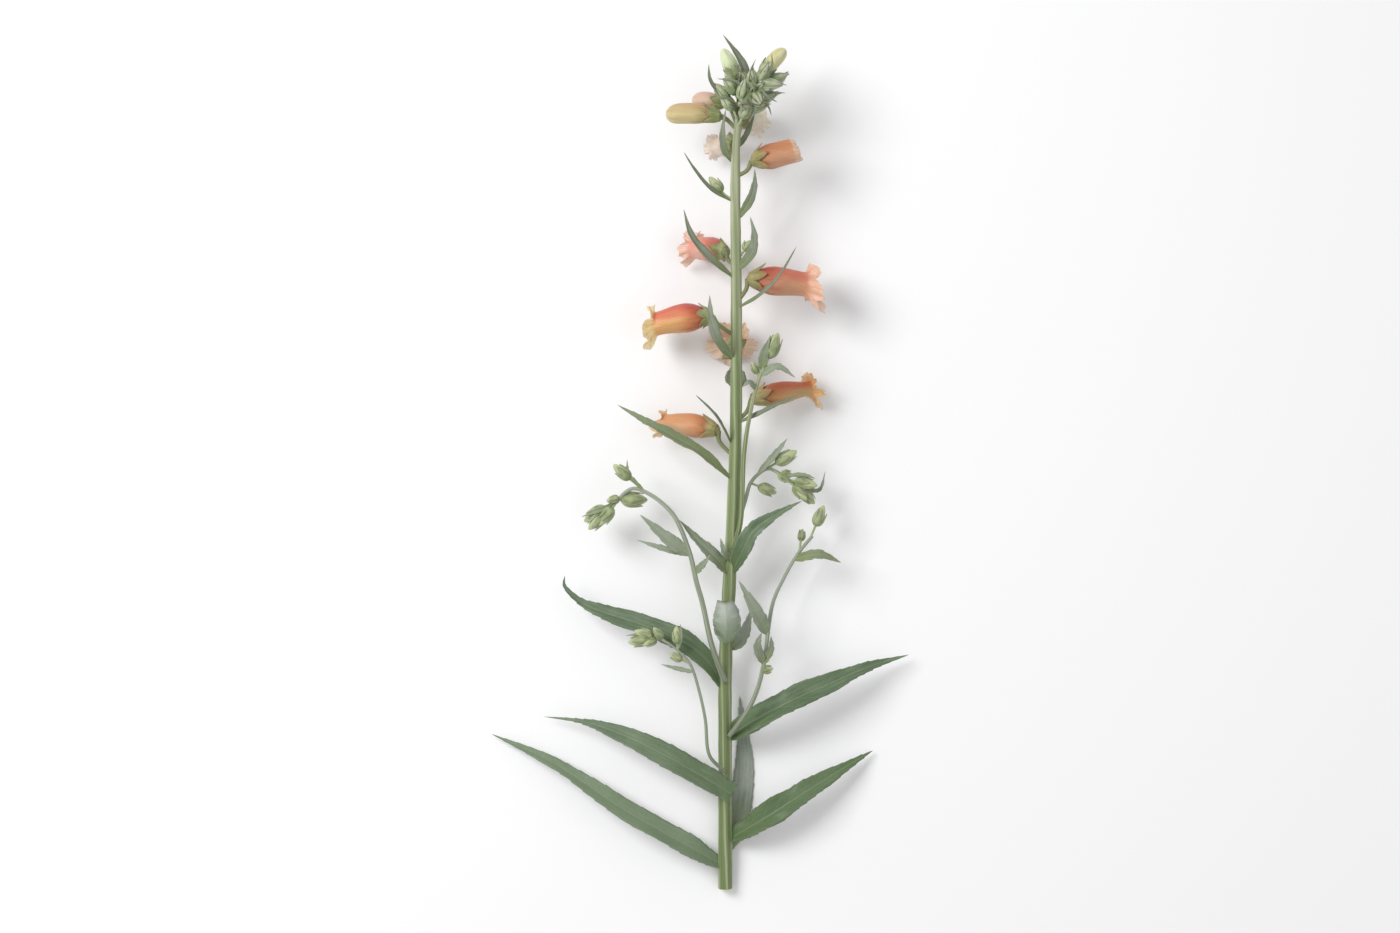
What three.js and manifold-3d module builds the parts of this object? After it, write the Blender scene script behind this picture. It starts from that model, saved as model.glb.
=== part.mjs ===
// A foxglove flower spike, cut from its plant and laid on its back on a flat surface. Millimetres, +Z up.
//
// The spike is laid out in its own plan: +Y runs up the stem from the cut, +X is to the right of someone looking
// down on it and +Z points at them, with the surface at Z = 0. The finished group is then moved so that its origin
// is the bottom centre of its box.
//
// Stalks, leaves and bracts follow smooth curves through a few chosen points. Blooms, calyces and buds are sheets
// or tubes worked out round each bloom's own axis, which starts in the calyx and points out of the mouth.
import * as THREE from "three";
import { mergeVertices } from "three/addons/utils/BufferGeometryUtils.js";
import Module from "manifold-3d";

const wasm = await Module();
wasm.setup();

// ---- Driving dimensions ------------------------------------------------------------------------------------

const GAP = 0.3; // clearance between pieces that rest in or against each other
const PETAL = 0.65; // thickness of petals and sepals
const BLADE = 0.8; // thickness of leaves
const BRACT = 0.7; // thickness of the small leaves under the blooms

const CUT_RADIUS = 3.0; // the stem at the cut
const STEM_TAPER = 0.8; // how much thinner it is below the bend
const TIP_TAPER = 1.1; // and how much more it loses in the nodding tip

// Midline of the stem: it lies on the surface at the cut, is propped up by the blooms, and nods at the tip.
const STEM_PATH = [
  [-1.2, 0, 3], [-1.3, 50, 7], [-1.2, 95, 12], [0.5, 130, 15.8], [2.2, 165, 19.3], [3.2, 200, 22.3],
  [3.3, 250, 25.2], [2.9, 292, 27.2], [3.6, 315, 28.5], [6, 325.5, 30], [9.8, 331.5, 33.5], [12.5, 333.5, 39.5],
];

const YOUNG = 16; // blooms with shorter tubes are young ones
const LOBES = 5; // petal lobes and sepals of a bloom
const NECK = 0.34; // radius of the corolla where it leaves the receptacle, as a share of its belly
const BELLY_AT = 0.45; // where along the tube the belly is widest
const BELLY_SAG = 0.1; // how much fuller the lower side of the belly is
const TUBE_RINGS = [0.04, 0.26, 0.6, 1]; // where along its tube an open corolla has a ring of corners
const BUD_RINGS = [0, 0.12, 0.3, 0.55, 0.78, 0.92, 0.98, 1];
const SEPALS = 0.31; // how far up an open corolla's tube, or a closed bud, the sepals reach
const SEPAL_SPREAD = 0.9; // how far their tips stand away from it
const PEDICEL = 0.85; // radius of a bloom's stalk

// Stem leaves, from the lowest up. path is the midrib from stem to tip, face the way the upper side looks.
const LEAVES = [
  { name: "leaf_1", path: [[-1, 9, 3], [-17, 18.7, 9], [-44, 34.3, 11], [-72, 52.4, 7], [-99.5, 65, 2.2]],
    width: 10, face: [0.1, 0.5, 1], teeth: 11 },
  { name: "leaf_2", path: [[0, 20.5, 4], [18, 32, 10], [38, 44.8, 9], [61, 58, 2]],
    width: 11.5, face: [-0.1, 0.5, 1], teeth: 9 },
  // The leaf caught under the stem lies pressed flat on the surface.
  { name: "leaf_3", path: [[-1, 15, 3.4], [3, 25, 1.5], [5.6, 38, BLADE / 2], [7, 52, BLADE / 2],
    [6.4, 66, BLADE / 2], [5, 81, BLADE / 2]], width: 10, face: [0, 0, 1], teeth: 7, fold: 0 },
  { name: "leaf_4", path: [[1.4, 40.2, 9], [-3.5, 43.5, 10.4], [-14, 50, 13.5], [-32, 59.9, 14.5],
    [-50, 67.6, 11.5], [-62, 70.8, 8], [-77.4, 72.4, 4]], width: 10.6,
    face: [0.1, 0.35, 1], teeth: 11, foot: 1, slim: 0.5 },
  { name: "leaf_5", path: [[0, 63.5, 8], [8, 69.8, 13], [26, 79.8, 16.5], [45, 88, 13.5], [60, 94, 9.5],
    [76, 98.5, 5.5]],
    width: 11, face: [-0.1, 0.5, 1], teeth: 10, slim: 0.2 },
  { name: "leaf_6", path: [[-1.5, 84, 10.5], [-7, 94, 15.5], [-15.3, 102.3, 18], [-24, 107, 19], [-38, 112.3, 18],
    [-51, 116.3, 15], [-61, 120.6, 13], [-68, 127, 12], [-68.2, 132, 13]], width: 9.8,
    face: [0.1, 0.4, 1], teeth: 11, slim: 0.45 },
  // A leaf that stands up over the stem, so that its silvery back is seen.
  { name: "leaf_7", path: [[-0.8, 103, 13], [-0.6, 108, 22.5], [-0.8, 114, 29.5], [-1.6, 121.5, 33.5]],
    width: 12, face: [0, 1, -0.3], teeth: 5, blunt: 0.9 },
  { name: "leaf_8", path: [[0.5, 133, 16.5], [-5, 139, 21], [-12, 146, 23.5], [-20.3, 155.3, 23.2]],
    width: 6.6, face: [0.3, 0.5, 1], teeth: 5 },
  { name: "leaf_9", path: [[1.5, 133, 17], [5.8, 142.5, 22.5], [10, 150.5, 26], [18, 156.6, 27],
    [30.5, 163.3, 25.5]],
    width: 7.6, face: [-0.2, 0.2, 1], teeth: 6 },
  { name: "leaf_10", path: [[1.5, 172, 20.5], [-12, 183.5, 28], [-26, 191.5, 30], [-36, 197, 29],
    [-46, 203, 26.5]],
    width: 6, face: [0.2, 0.7, 0.8], teeth: 8 },
  { name: "leaf_11", path: [[0.8, 101, 11.5], [5, 105.5, 12], [7.6, 111.5, 14.5], [9.4, 118, 17.5]],
    width: 6, face: [0.4, 0.2, 1], teeth: 4 },
  { name: "leaf_12", path: [[1, 138, 18], [-1.8, 142, 22], [-3.3, 147.8, 22.5]], width: 3.4, face: [0.2, 0.5, 1],
    teeth: 3 },
];

// Blooms from the lowest up. at: height of the stalk's root; base: foot of the calyx; aim: way the mouth faces;
// tube: length of the corolla to its throat; belly: its greatest radius; throat: its throat as a share of that;
// gape: size of the lobes; spread: how far they curl back; bract: the leaf under it.
const BLOOMS = [
  { name: "bloom_1", at: 181, via: [-3.5, 187.5, 20], base: [-5, 192.5, 19.95], aim: [-1, 0.13, -0.5], tube: 23,
    belly: 5, throat: 0.76, gape: 0.9, spread: 1,
    bract: { path: [[1.2, 187, 22], [-5, 198, 31.5], [-13.5, 207, 32.5]], width: 2.6, face: [1, 0.6, 0.6] } },
  { name: "bloom_2", at: 196, via: [7.5, 200, 22], base: [10.5, 205.5, 20.18], aim: [1, 0.2, -0.5], tube: 25,
    belly: 4.8, throat: 0.6, gape: 0.95, spread: 1,
    bract: { path: [[4, 195.5, 22], [12, 199, 28], [20, 203, 29.5], [29, 207, 28]], width: 2.8,
      face: [-0.2, 0.6, 1] } },
  { name: "bloom_3", at: 221, via: [2.2, 224, 20], base: [1.8, 226.5, 18.6], aim: [-0.02, 0.22, -1], tube: 11,
    belly: 5.2, throat: 0.95, gape: 0.95, spread: 1.3,
    bract: { path: [[3, 209, 22.5], [3.2, 212.5, 13], [2.8, 217, 8.8], [2.2, 221, 8.6]], width: 9.5,
      face: [0, 0, 1] } },
  { name: "bloom_4", at: 231, via: [-4, 236, 25], base: [-7.5, 239.5, 24], aim: [-1, -0.12, -0.2], tube: 22.5,
    belly: 6, throat: 0.8, gape: 1, spread: 1.05,
    bract: { path: [[2, 222, 24.5], [-4, 230, 32], [-7, 239, 33.5], [-7.8, 248, 32.5]], width: 5,
      face: [-0.4, 0.1, 1] } },
  { name: "bloom_5", at: 245, via: [7.2, 250.5, 26.5], base: [9, 255, 26], aim: [1, -0.08, -0.22], tube: 22,
    belly: 6, throat: 0.84, gape: 1.25, spread: 0.85,
    bract: { path: [[4, 243, 25.5], [13, 248, 33], [21, 256, 35], [28, 268, 33.5]], width: 2.6,
      face: [-0.8, 0.5, 0.7] } },
  { name: "bloom_6", at: 260, via: [0, 263, 23], base: [-1.5, 266.5, 21.77], aim: [-0.72, 0.16, -0.72], tube: 17,
    belly: 5.3, throat: 0.85, gape: 0.95, spread: 0.8,
    bract: { path: [[1.5, 256, 26], [-8.5, 264, 31], [-15.5, 273, 32], [-18.5, 283.5, 30.5]], width: 4.4,
      face: [0.4, 0.5, 1] } },
  { name: "bloom_7", at: 297, via: [7.5, 299.5, 28.5], base: [10.5, 303.5, 29], aim: [1, 0.28, -0.08], tube: 15,
    belly: 5, throat: 0.95, gape: 0.42, spread: 0.3,
    bract: { path: [[3.2, 279, 26.5], [8.8, 287, 30], [10.8, 293.5, 31], [10.8, 300, 32]], width: 4,
      face: [-0.3, -0.3, 1] } },
  { name: "bloom_8", at: 304.5, via: [2.8, 307.5, 25], base: [2.4, 311, 22.8], aim: [-0.55, -0.08, -0.83],
    tube: 14.5, belly: 4.4, throat: 0.86, gape: 0.7, spread: 0.7,
    bract: { path: [[2, 303, 25.5], [-2, 307, 29], [-3.5, 314, 30]], width: 3, face: [-0.6, 0, 1] } },
  { name: "bloom_9", at: 312, via: [4.6, 316.5, 25], base: [4.6, 321.5, 23], aim: [0.42, 0.05, -0.9], tube: 15,
    belly: 4.3, throat: 0.88, gape: 0.7, spread: 0.65,
    bract: { path: [[4, 309, 27.5], [11, 313, 27.5], [16, 318, 25]], width: 2.8, face: [0.2, 0.3, 1] } },
];

// Coloured buds near the tip, closed: length is that of the whole corolla, belly its greatest radius.
const BUDS = [
  { name: "bud_1", at: 316, via: [0, 320, 28.5], base: [-4, 322, 28.5], aim: [-1, 0.05, -0.1],
    length: 22, belly: 4.3,
    bract: { path: [[3.6, 321, 29.5], [-2.5, 329, 34], [-7.5, 336, 34.5], [-8.2, 343, 32.5]], width: 3,
      face: [0.4, 0.5, 1] } },
  { name: "bud_2", at: 317.5, via: [1, 325, 25.5], base: [-2, 328, 23.5], aim: [-0.9, 0.12, -0.35],
    length: 14, belly: 3.7 },
  { name: "bud_3", at: 321, via: [11.5, 330.5, 28], base: [13.6, 338.5, 32], aim: [0.66, 0.72, 0.12], length: 14.5,
    belly: 3.3 },
  { name: "bud_4", at: 325.5, via: [3.6, 332, 29], base: [2.8, 338, 28], aim: [-0.4, 0.9, 0.08],
    length: 12.5, belly: 3.5,
    bract: { path: [[3.6, 322, 31], [5, 332, 35.5], [6.4, 340, 36.8], [3, 347, 36.5], [-2.4, 355, 34.5]],
      width: 5, face: [0.5, 0, 1] } },
];

// Small green buds and their bracts that sit straight on the stem. root: height on the stem; tip: end of the bud.
const STEM_BUDS = [
  { root: 287, via: [-2.5, 290.5, 28], tip: [-8, 297, 28.5], length: 8, belly: 2.1,
    bract: { path: [[1.5, 287, 27], [-7, 291.5, 31.5], [-13.5, 299, 32.5], [-18.5, 307, 31.5]], width: 2.4,
      face: [0.5, 0.5, 1] } },
  { root: 262, via: [6, 266, 26.5], tip: [9.5, 271, 26], length: 5, belly: 1.8,
    bract: { path: [[3, 258, 26], [9.5, 265, 29.5], [11, 272, 30], [9, 280.5, 29]], width: 5,
      face: [-0.6, 0, 1] } },
];

// The nodding tip: ever smaller green buds round the end of the stem, each with its bract, by the golden angle.
const TIP_BUDS = { count: 9, start: 0.962, firstLength: 9, lastLength: 5, plump: 0.34, lean: 0.16 };
const GOLDEN_ANGLE = Math.PI * (3 - Math.sqrt(5));

// Side shoots that rise from the axils. buds: share of the shoot's length, tip, length of the bud;
// leaves: share of the length, then the points that follow the root, then the width.
const SHOOTS = [
  { name: "shoot_left_1", radius: 1.25,
    path: [[-1.5, 88, 15], [-7, 104, 24.5], [-10.5, 120, 25], [-13.3, 130, 25.5], [-15.8, 141, 25],
      [-20, 152.5, 27], [-24, 159, 25.5], [-31, 165, 23.5], [-38.5, 168.3, 21.5], [-43, 166.5, 20.5],
      [-46.5, 162.5, 19.5]],
    buds: [[0.86, [-47.7, 178.3, 23], 9], [1, [-33.5, 163.6, 17], 12], [1, [-60, 154.5, 16], 11],
      [1, [-58, 151.3, 20.5], 10]],
    leaves: [[0.54, [[-25, 147.5, 27.5], [-36.5, 157.5, 27.5]], 6], [0.54, [[-27, 143.5, 23], [-38, 147, 21]], 3],
      [0.47, [[-11, 136.5, 27.5], [-7.5, 141, 29.5]], 3.4], [0.86, [[-41, 174, 23.5], [-42, 180.5, 24]], 1.8]] },
  { name: "shoot_left_2", radius: 0.8,
    path: [[-1.5, 50, 10.5], [-8, 58, 20], [-9.5, 72, 21], [-12, 84, 22], [-15.5, 95, 24.5], [-20.5, 101, 25.5],
      [-26, 105, 25.5], [-31, 107, 24.5]],
    buds: [[0.74, [-24.5, 99.8, 25], 5.5], [0.84, [-21.5, 111.5, 27], 7], [1, [-39, 109.5, 25.5], 8],
      [1, [-41.5, 104.5, 23.5], 9]],
    leaves: [[0.68, [[-21.5, 93.8, 23], [-28, 95.5, 22.5]], 2.2]] },
  { name: "shoot_right_1", radius: 1.1,
    path: [[2, 143, 19], [5.2, 156, 23], [6.5, 183, 26], [9.6, 202.5, 30], [13, 215, 31.5], [15.5, 219.5, 31.5]],
    buds: [[1, [20.5, 232.5, 31], 11], [0.92, [9.5, 220.5, 31.5], 5]],
    leaves: [[0.93, [[20, 218.5, 34], [27.5, 214, 33.5]], 3.4], [0.86, [[8.5, 212, 34.5], [5.5, 210, 35.5]], 2.6],
      [0.96, [[14.8, 224, 33], [17, 230.5, 33.5]], 4.4]] },
  { name: "shoot_right_2", radius: 0.9,
    path: [[2.5, 149, 16], [7, 163, 16.5], [9.5, 171, 18], [15.5, 176.3, 19], [20, 175.3, 18.5], [25, 172, 18.5],
      [31, 168, 17.5]],
    buds: [[0.58, [28.5, 184, 20.5], 10], [0.46, [20.2, 166.3, 12.5], 8.5], [0.75, [27, 174, 15], 5],
      [0.86, [37, 169.5, 21.5], 9.5], [0.9, [36, 162, 17.5], 9.5]],
    leaves: [[0.55, [[19.8, 183, 22], [24.5, 189.2, 22]], 3],
      [0.92, [[37.5, 167.5, 15.5], [40.5, 175.5, 16.5]], 2]] },
  { name: "shoot_right_3", radius: 1.0,
    path: [[0.6, 65, 12], [4.3, 70.5, 18], [9, 78, 21.5], [12.6, 87, 23.5], [15.2, 99, 24], [16.6, 110, 22],
      [18.6, 121, 19.5], [22.5, 130, 19], [28.5, 140.5, 18], [35, 148.5, 17]],
    buds: [[1, [39.8, 161.3, 17.5], 9], [0.91, [31, 151.5, 14], 5], [0.36, [18.5, 94, 24], 6]],
    leaves: [[0.52, [[11.2, 118, 28.5], [4.2, 130.5, 30]], 6], [0.39, [[12, 103, 29], [13.6, 109, 31]], 4],
      [0.87, [[37.5, 141, 21.3], [47, 137.5, 17]], 4.4]] },
];

// ---- Making closed solids ----------------------------------------------------------------------------------

const point = ([x, y, z]) => new THREE.Vector3(x, y, z);
const curve = (points) => new THREE.CatmullRomCurve3(points.map(point), false, "catmullrom", 0.5);
const unit = (vector) => point(vector).normalize();
const smooth = (x) => {
  const t = Math.min(1, Math.max(0, x));
  return t * t * (3 - 2 * t);
};

// A solid from loose triangles, given as a flat list of corners. Triangles that have shrunk to a line are left out.
function solid(corners) {
  const loose = new THREE.BufferGeometry().setFromPoints(corners);
  const merged = mergeVertices(loose, 1e-4);
  const index = merged.index.array;
  const kept = [];
  for (let i = 0; i < index.length; i += 3) {
    const [a, b, c] = [index[i], index[i + 1], index[i + 2]];
    if (a !== b && b !== c && c !== a) kept.push(a, b, c);
  }
  const build = (order) =>
    new wasm.Manifold(
      new wasm.Mesh({
        numProp: 3,
        vertProperties: merged.attributes.position.array,
        triVerts: Uint32Array.from(order),
      }),
    );
  const made = build(kept);
  return made.volume() < 0 ? build(kept.reverse()) : made;
}

const fuse = (solids) => solids.reduce((whole, next) => whole.add(next));
const biggest = (whole) => whole.decompose().sort((a, b) => b.volume() - a.volume())[0];

// Two triangles for each cell of a grid of points, with every diagonal running the same way.
function gridTriangles(rows, closed) {
  const corners = [];
  for (let i = 0; i + 1 < rows.length; i++) {
    const columns = rows[i].length;
    for (let j = 0; j < (closed ? columns : columns - 1); j++) {
      const k = (j + 1) % columns;
      corners.push(rows[i][j], rows[i][k], rows[i + 1][k], rows[i][j], rows[i + 1][k], rows[i + 1][j]);
    }
  }
  return corners;
}

// A thin sheet between two like grids of points. closed: the columns run all the way round, as in a bell.
function sheet(upper, lower, closed) {
  const last = upper.length - 1;
  const rim = (a, b) => gridTriangles([a, b], closed);
  const corners = [...gridTriangles(upper, closed), ...gridTriangles(lower, closed).reverse()];
  corners.push(...rim(lower[0], upper[0]), ...rim(upper[last], lower[last]));
  if (!closed) {
    const side = (grid, j) => grid.map((row) => row.at(j));
    corners.push(...gridTriangles([side(upper, 0), side(lower, 0)], false));
    corners.push(...gridTriangles([side(lower, -1), side(upper, -1)], false));
  }
  return solid(corners);
}

const even = (steps) => Array.from({ length: steps + 1 }, (_, i) => i / steps);

// A tube with closed ends along a path. radiusAt(u) is its radius at the share u of the path's length, and
// stations lists the shares at which it has a ring of corners.
function tube(path, radiusAt, sides, stations) {
  const normal = new THREE.Vector3(0.31, 0.17, 1);
  const rings = stations.map((u) => {
    const along = path.getTangentAt(u);
    normal.projectOnPlane(along).normalize();
    const across = along.clone().cross(normal);
    return Array.from({ length: sides }, (_, j) => {
      const angle = ((j + 0.5) / sides) * 2 * Math.PI;
      return path
        .getPointAt(u)
        .addScaledVector(normal, Math.cos(angle) * radiusAt(u))
        .addScaledVector(across, Math.sin(angle) * radiusAt(u));
    });
  });
  const first = rings[0].map(() => path.getPointAt(0));
  const last = rings[0].map(() => path.getPointAt(1));
  return solid(gridTriangles([first, ...rings, last], true));
}

// ---- Stem --------------------------------------------------------------------------------------------------

const stemCurve = curve(STEM_PATH);
const stemRadius = (u) => CUT_RADIUS - STEM_TAPER * u - TIP_TAPER * u ** 8;

// Midpoint of the stem at a height up the plan.
function stemAt(height) {
  let [low, high] = [0, 0.95];
  for (let i = 0; i < 30; i++) {
    const middle = (low + high) / 2;
    if (stemCurve.getPointAt(middle).y < height) low = middle;
    else high = middle;
  }
  return stemCurve.getPointAt(low).toArray();
}

const stemTube = (grow) => tube(stemCurve, (u) => stemRadius(u) + grow, 8, even(22));

// ---- Leaves and bracts -------------------------------------------------------------------------------------

// Half the width of a blade at the share t of its length: widest at a third, and a long point. foot is its share at
// the stem, and slim is how much narrower its outer half is.
const bladeShape = (t, foot, slim) =>
  Math.max(foot * (1 - t) ** 2, Math.sin(Math.PI * t ** 0.65) ** 0.85) * (1 - slim * smooth((t - 0.5) / 0.4));
// And of a blade with a broad, blunt end.
const bluntShape = (t) => Math.sin(Math.PI * (0.08 + 0.8 * t)) ** 0.5;

// A blade along a midrib, folded up a little along it, with a row of teeth down each edge. blunt is the share of the
// blunt outline in its own; grow makes it larger all round, as a clearance.
function blade({
  path, width, face, teeth = 0, steps = 2 * teeth, thick = BLADE, fold = 0.3, foot = 0.35, slim = 0, blunt = 0,
  grow = 0,
}) {
  const midrib = curve(path);
  const upper = [];
  const lower = [];
  for (let i = 0; i <= steps; i++) {
    const t = i / steps;
    const along = midrib.getTangent(t);
    const normal = unit(face).projectOnPlane(along).normalize();
    const side = along.clone().cross(normal);
    const notch = teeth && i % 2 === 0 ? 0.86 : 1;
    const shape = (1 - blunt) * bladeShape(t, foot, slim) + blunt * bluntShape(t);
    const half = Math.max((width / 2) * shape * notch, i === steps ? 0.05 : 0.3) + grow;
    const centre = midrib.getPoint(t);
    centre.z = Math.max(centre.z, thick / 2); // no blade goes below the surface
    const row = [-1, 0, 1].map((c) =>
      centre.clone().addScaledVector(side, c * half).addScaledVector(normal, Math.abs(c) * fold * half),
    );
    upper.push(row.map((p) => p.clone().addScaledVector(normal, thick / 2 + grow)));
    lower.push(row.map((p) => p.clone().addScaledVector(normal, -thick / 2 - grow)));
  }
  return sheet(upper, lower, false);
}

const bract = (shape, grow) => blade({ ...shape, steps: 4, thick: BRACT, fold: 0.35, grow });

// ---- Blooms ------------------------------------------------------------------------------------------------

// A function that places a point by its distance s along the bloom's axis, its distance r from it, and its
// angle round it, with 0 on the side that was uppermost while the plant stood.
function axisOf({ base, aim, up = [0, 1, 0] }) {
  const out = unit(aim);
  const top = point(up).projectOnPlane(out).normalize();
  const side = out.clone().cross(top);
  return (s, r, angle) =>
    point(base)
      .addScaledVector(out, s)
      .addScaledVector(top, r * Math.cos(angle))
      .addScaledVector(side, r * Math.sin(angle));
}

// Radius of an open corolla's tube: it swells from the neck to the belly and draws in to the throat.
function tubeWall(b, s, angle) {
  const t = Math.min(1, Math.max(0, s / b.tube));
  const swell = NECK + (1 - NECK) * Math.sin(Math.min(1, t / BELLY_AT) * (Math.PI / 2));
  const narrow = 1 - (1 - b.throat) * smooth((t - BELLY_AT) / (1 - BELLY_AT));
  return b.belly * swell * narrow * (1 - BELLY_SAG * Math.cos(angle) * Math.sin(Math.PI * t));
}

// Radius of a closed bud: the same swelling, rounded off at the end.
function budWall(b, s) {
  const t = Math.min(1, Math.max(0, s / b.length));
  const swell = NECK + (1 - NECK) * Math.sin(Math.min(1, t / 0.5) * (Math.PI / 2));
  return b.belly * swell * Math.sqrt(Math.max(0, 1 - Math.max(0, (t - 0.7) / 0.3) ** 2.5));
}

const angles = (count) => Array.from({ length: count }, (_, j) => (j / count) * 2 * Math.PI);

// Share of a lobe's full length at an angle: 1 in the middle of each of the five lobes, 0 in the notches.
// offset turns the lobes, so that sepals can stand behind the gaps between petals.
function lobeShare(angle, offset, power) {
  const lobe = (2 * Math.PI) / LOBES;
  const across = ((((angle - offset) / lobe) % 1) + 1) % 1;
  return Math.max(0, 1 - Math.abs(2 * across - 1) ** 2.2) ** power;
}

// The bell: a closed foot, the tube, then five lobes that curl back on arcs, the lowest one longest.
function petals(b) {
  const place = axisOf(b);
  const round = angles((b.tube < YOUNG ? 3 : 4) * LOBES);
  const rows = [{ foot: true }, ...TUBE_RINGS.map((t) => ({ t })), { lobe: 0.5 }, { lobe: 1 }];
  const grids = [0, PETAL].map((depth) =>
    rows.map((row) =>
      round.map((angle) => {
        if (row.foot) return place(depth, 0, angle);
        if (!row.lobe) return place(row.t * b.tube, tubeWall(b, row.t * b.tube, angle) - depth, angle);
        const full = b.gape * (6.8 - 1.5 * Math.cos(angle));
        const length = 1 + (full - 1) * lobeShare(angle, 0, 0.6);
        const start = 0.1;
        const turn = b.spread * (1.45 + 0.25 * Math.cos(angle));
        const lean = start + turn * row.lobe;
        const r = tubeWall(b, b.tube, angle) + (length * (Math.cos(start) - Math.cos(lean))) / turn;
        const s = b.tube + (length * (Math.sin(lean) - Math.sin(start))) / turn;
        return place(s + depth * Math.sin(lean), r - depth * Math.cos(lean), angle);
      }),
    ),
  );
  return sheet(grids[0], grids[1], true);
}

function budPetals(b) {
  const place = axisOf(b);
  const round = angles(10);
  const foot = round.map((angle) => place(0, 0, angle));
  const rows = BUD_RINGS.map((t) => round.map((angle) => place(t * b.length, budWall(b, t * b.length), angle)));
  return solid(gridTriangles([foot, ...rows], true));
}

// Five sepals that stand round the foot of the corolla, joined in a small cup. ring is where on the corolla's
// axis they bend with it, reach how far up it they come.
function calyx(b, wall, ring, reach) {
  const place = axisOf(b);
  const round = angles(2 * LOBES);
  const inside = GAP + 0.25;
  const cup = 1.6;
  const grids = [inside, inside + PETAL].map((out) =>
    [0, 1, 2, 3].map((row) =>
      round.map((angle) => {
        if (row === 0) return place(-out, 0, angle);
        const tip = cup + (reach - cup) * lobeShare(angle, Math.PI / LOBES, 1);
        const s = [-0.3 * out, Math.min(ring, tip), tip][row - 1];
        return place(s, wall(b, s, angle) + out + SEPAL_SPREAD * smooth((s - ring) / 5), angle);
      }),
    ),
  );
  return sheet(grids[1], grids[0], true);
}

// Stalk and calyx of a bloom or bud: one green body.
function stalk(b, wall, ring, reach) {
  const foot = axisOf(b)(-1, 0, 0).toArray();
  const path = curve([stemAt(b.at), b.via, foot]);
  return fuse([calyx(b, wall, ring, reach), tube(path, (u) => PEDICEL + 0.35 * u ** 4, 4, even(3))]);
}

// Ovary, style and stamens, which lie along the upper side of the tube: four, or two in a short young bloom.
function stamens(b) {
  const place = axisOf(b);
  const foot = PETAL + GAP;
  const under = (s, angle, depth) => place(s, tubeWall(b, s, angle) - depth, angle).toArray();
  const pistil = curve([
    place(foot, 0, 0).toArray(),
    place(0.3 * b.tube, 0.1, 0).toArray(),
    under(0.86 * b.tube, 0, 2),
  ]);
  const parts = [tube(pistil, (u) => 0.3 + 0.6 * (1 - smooth((u - 0.15) / 0.2)), 3, [0, 0.15, 0.35, 1])];
  for (const side of b.tube < YOUNG ? [-0.5, 0.5] : [-0.9, -0.45, 0.45, 0.9]) {
    const reach = 0.9 - 0.3 * Math.abs(side);
    const from = place(foot + 0.9, 0.2, side).toArray();
    const path = curve([from, under(0.4 * b.tube, side, 2.4), under(reach * b.tube, side, 2)]);
    parts.push(tube(path, (u) => (u < 0.8 ? 0.3 : 0.8), 3, [0, 0.5, 0.85, 1]));
  }
  return fuse(parts);
}

// ---- Green buds, tip and shoots ----------------------------------------------------------------------------

// A small bud on its stalk, as one tube that is thin at first and then swells into an egg.
function budlet(points, length, belly, grow = 0) {
  const path = curve(points);
  const foot = Math.max(0.1, 1 - length / path.getLength());
  const egg = [0, 0.3, 0.75, 1].map((t) => foot + (1 - foot) * t);
  const radiusAt = (u) => {
    const t = (u - foot) / (1 - foot);
    const bulge = t <= 0 ? 0 : belly * Math.sin(Math.PI * Math.min(t, 0.999) ** 0.8) ** 0.7;
    return Math.max(t <= 0 ? 0.5 : 0.5 * (1 - t), bulge) + grow;
  };
  return tube(path, radiusAt, 4, [0, ...egg]);
}

function stemBud({ root, via, tip, length, belly, bract: leaf }, grow) {
  return [budlet([stemAt(root), via, tip], length, belly, grow), bract(leaf, grow)];
}

// The buds of the nodding tip, one at each golden angle, shorter and closer towards the end.
function tipBud(i, grow) {
  const share = i / (TIP_BUDS.count - 1);
  const u = TIP_BUDS.start + (1 - TIP_BUDS.start) * Math.sqrt(share);
  const root = stemCurve.getPointAt(u);
  const along = stemCurve.getTangentAt(u);
  const across = new THREE.Vector3(0, 0, 1).projectOnPlane(along).normalize().applyAxisAngle(along,
    i * GOLDEN_ANGLE);
  const out = across.multiplyScalar(1 - share * 0.6).addScaledVector(along, TIP_BUDS.lean + share).normalize();
  const length = TIP_BUDS.firstLength + (TIP_BUDS.lastLength - TIP_BUDS.firstLength) * share;
  const reach = (r, lift) => root.clone().addScaledVector(out, r).addScaledVector(along, lift).toArray();
  const leaf = { path: [reach(0, -1.5), reach(0.8 * length, -2), reach(1.7 * length, -0.5)], width: 2.4 };
  return [
    budlet([reach(0, 0), reach(length * 0.6, 0), reach(length * 1.25, 0)], length, length * TIP_BUDS.plump, grow),
    blade({ ...leaf, face: along.toArray(), steps: 2, thick: BRACT, grow }),
  ];
}

// The stem with what grows on it in one body: bracts, green buds and the nodding tip.
function leafyStem(grow) {
  const bracts = [...BLOOMS, ...BUDS].filter((b) => b.bract).map((b) => bract(b.bract, grow));
  const tip = even(TIP_BUDS.count - 1).flatMap((_, i) => tipBud(i, grow));
  return fuse([stemTube(grow), ...bracts, ...STEM_BUDS.flatMap((b) => stemBud(b, grow)), ...tip]);
}

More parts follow.
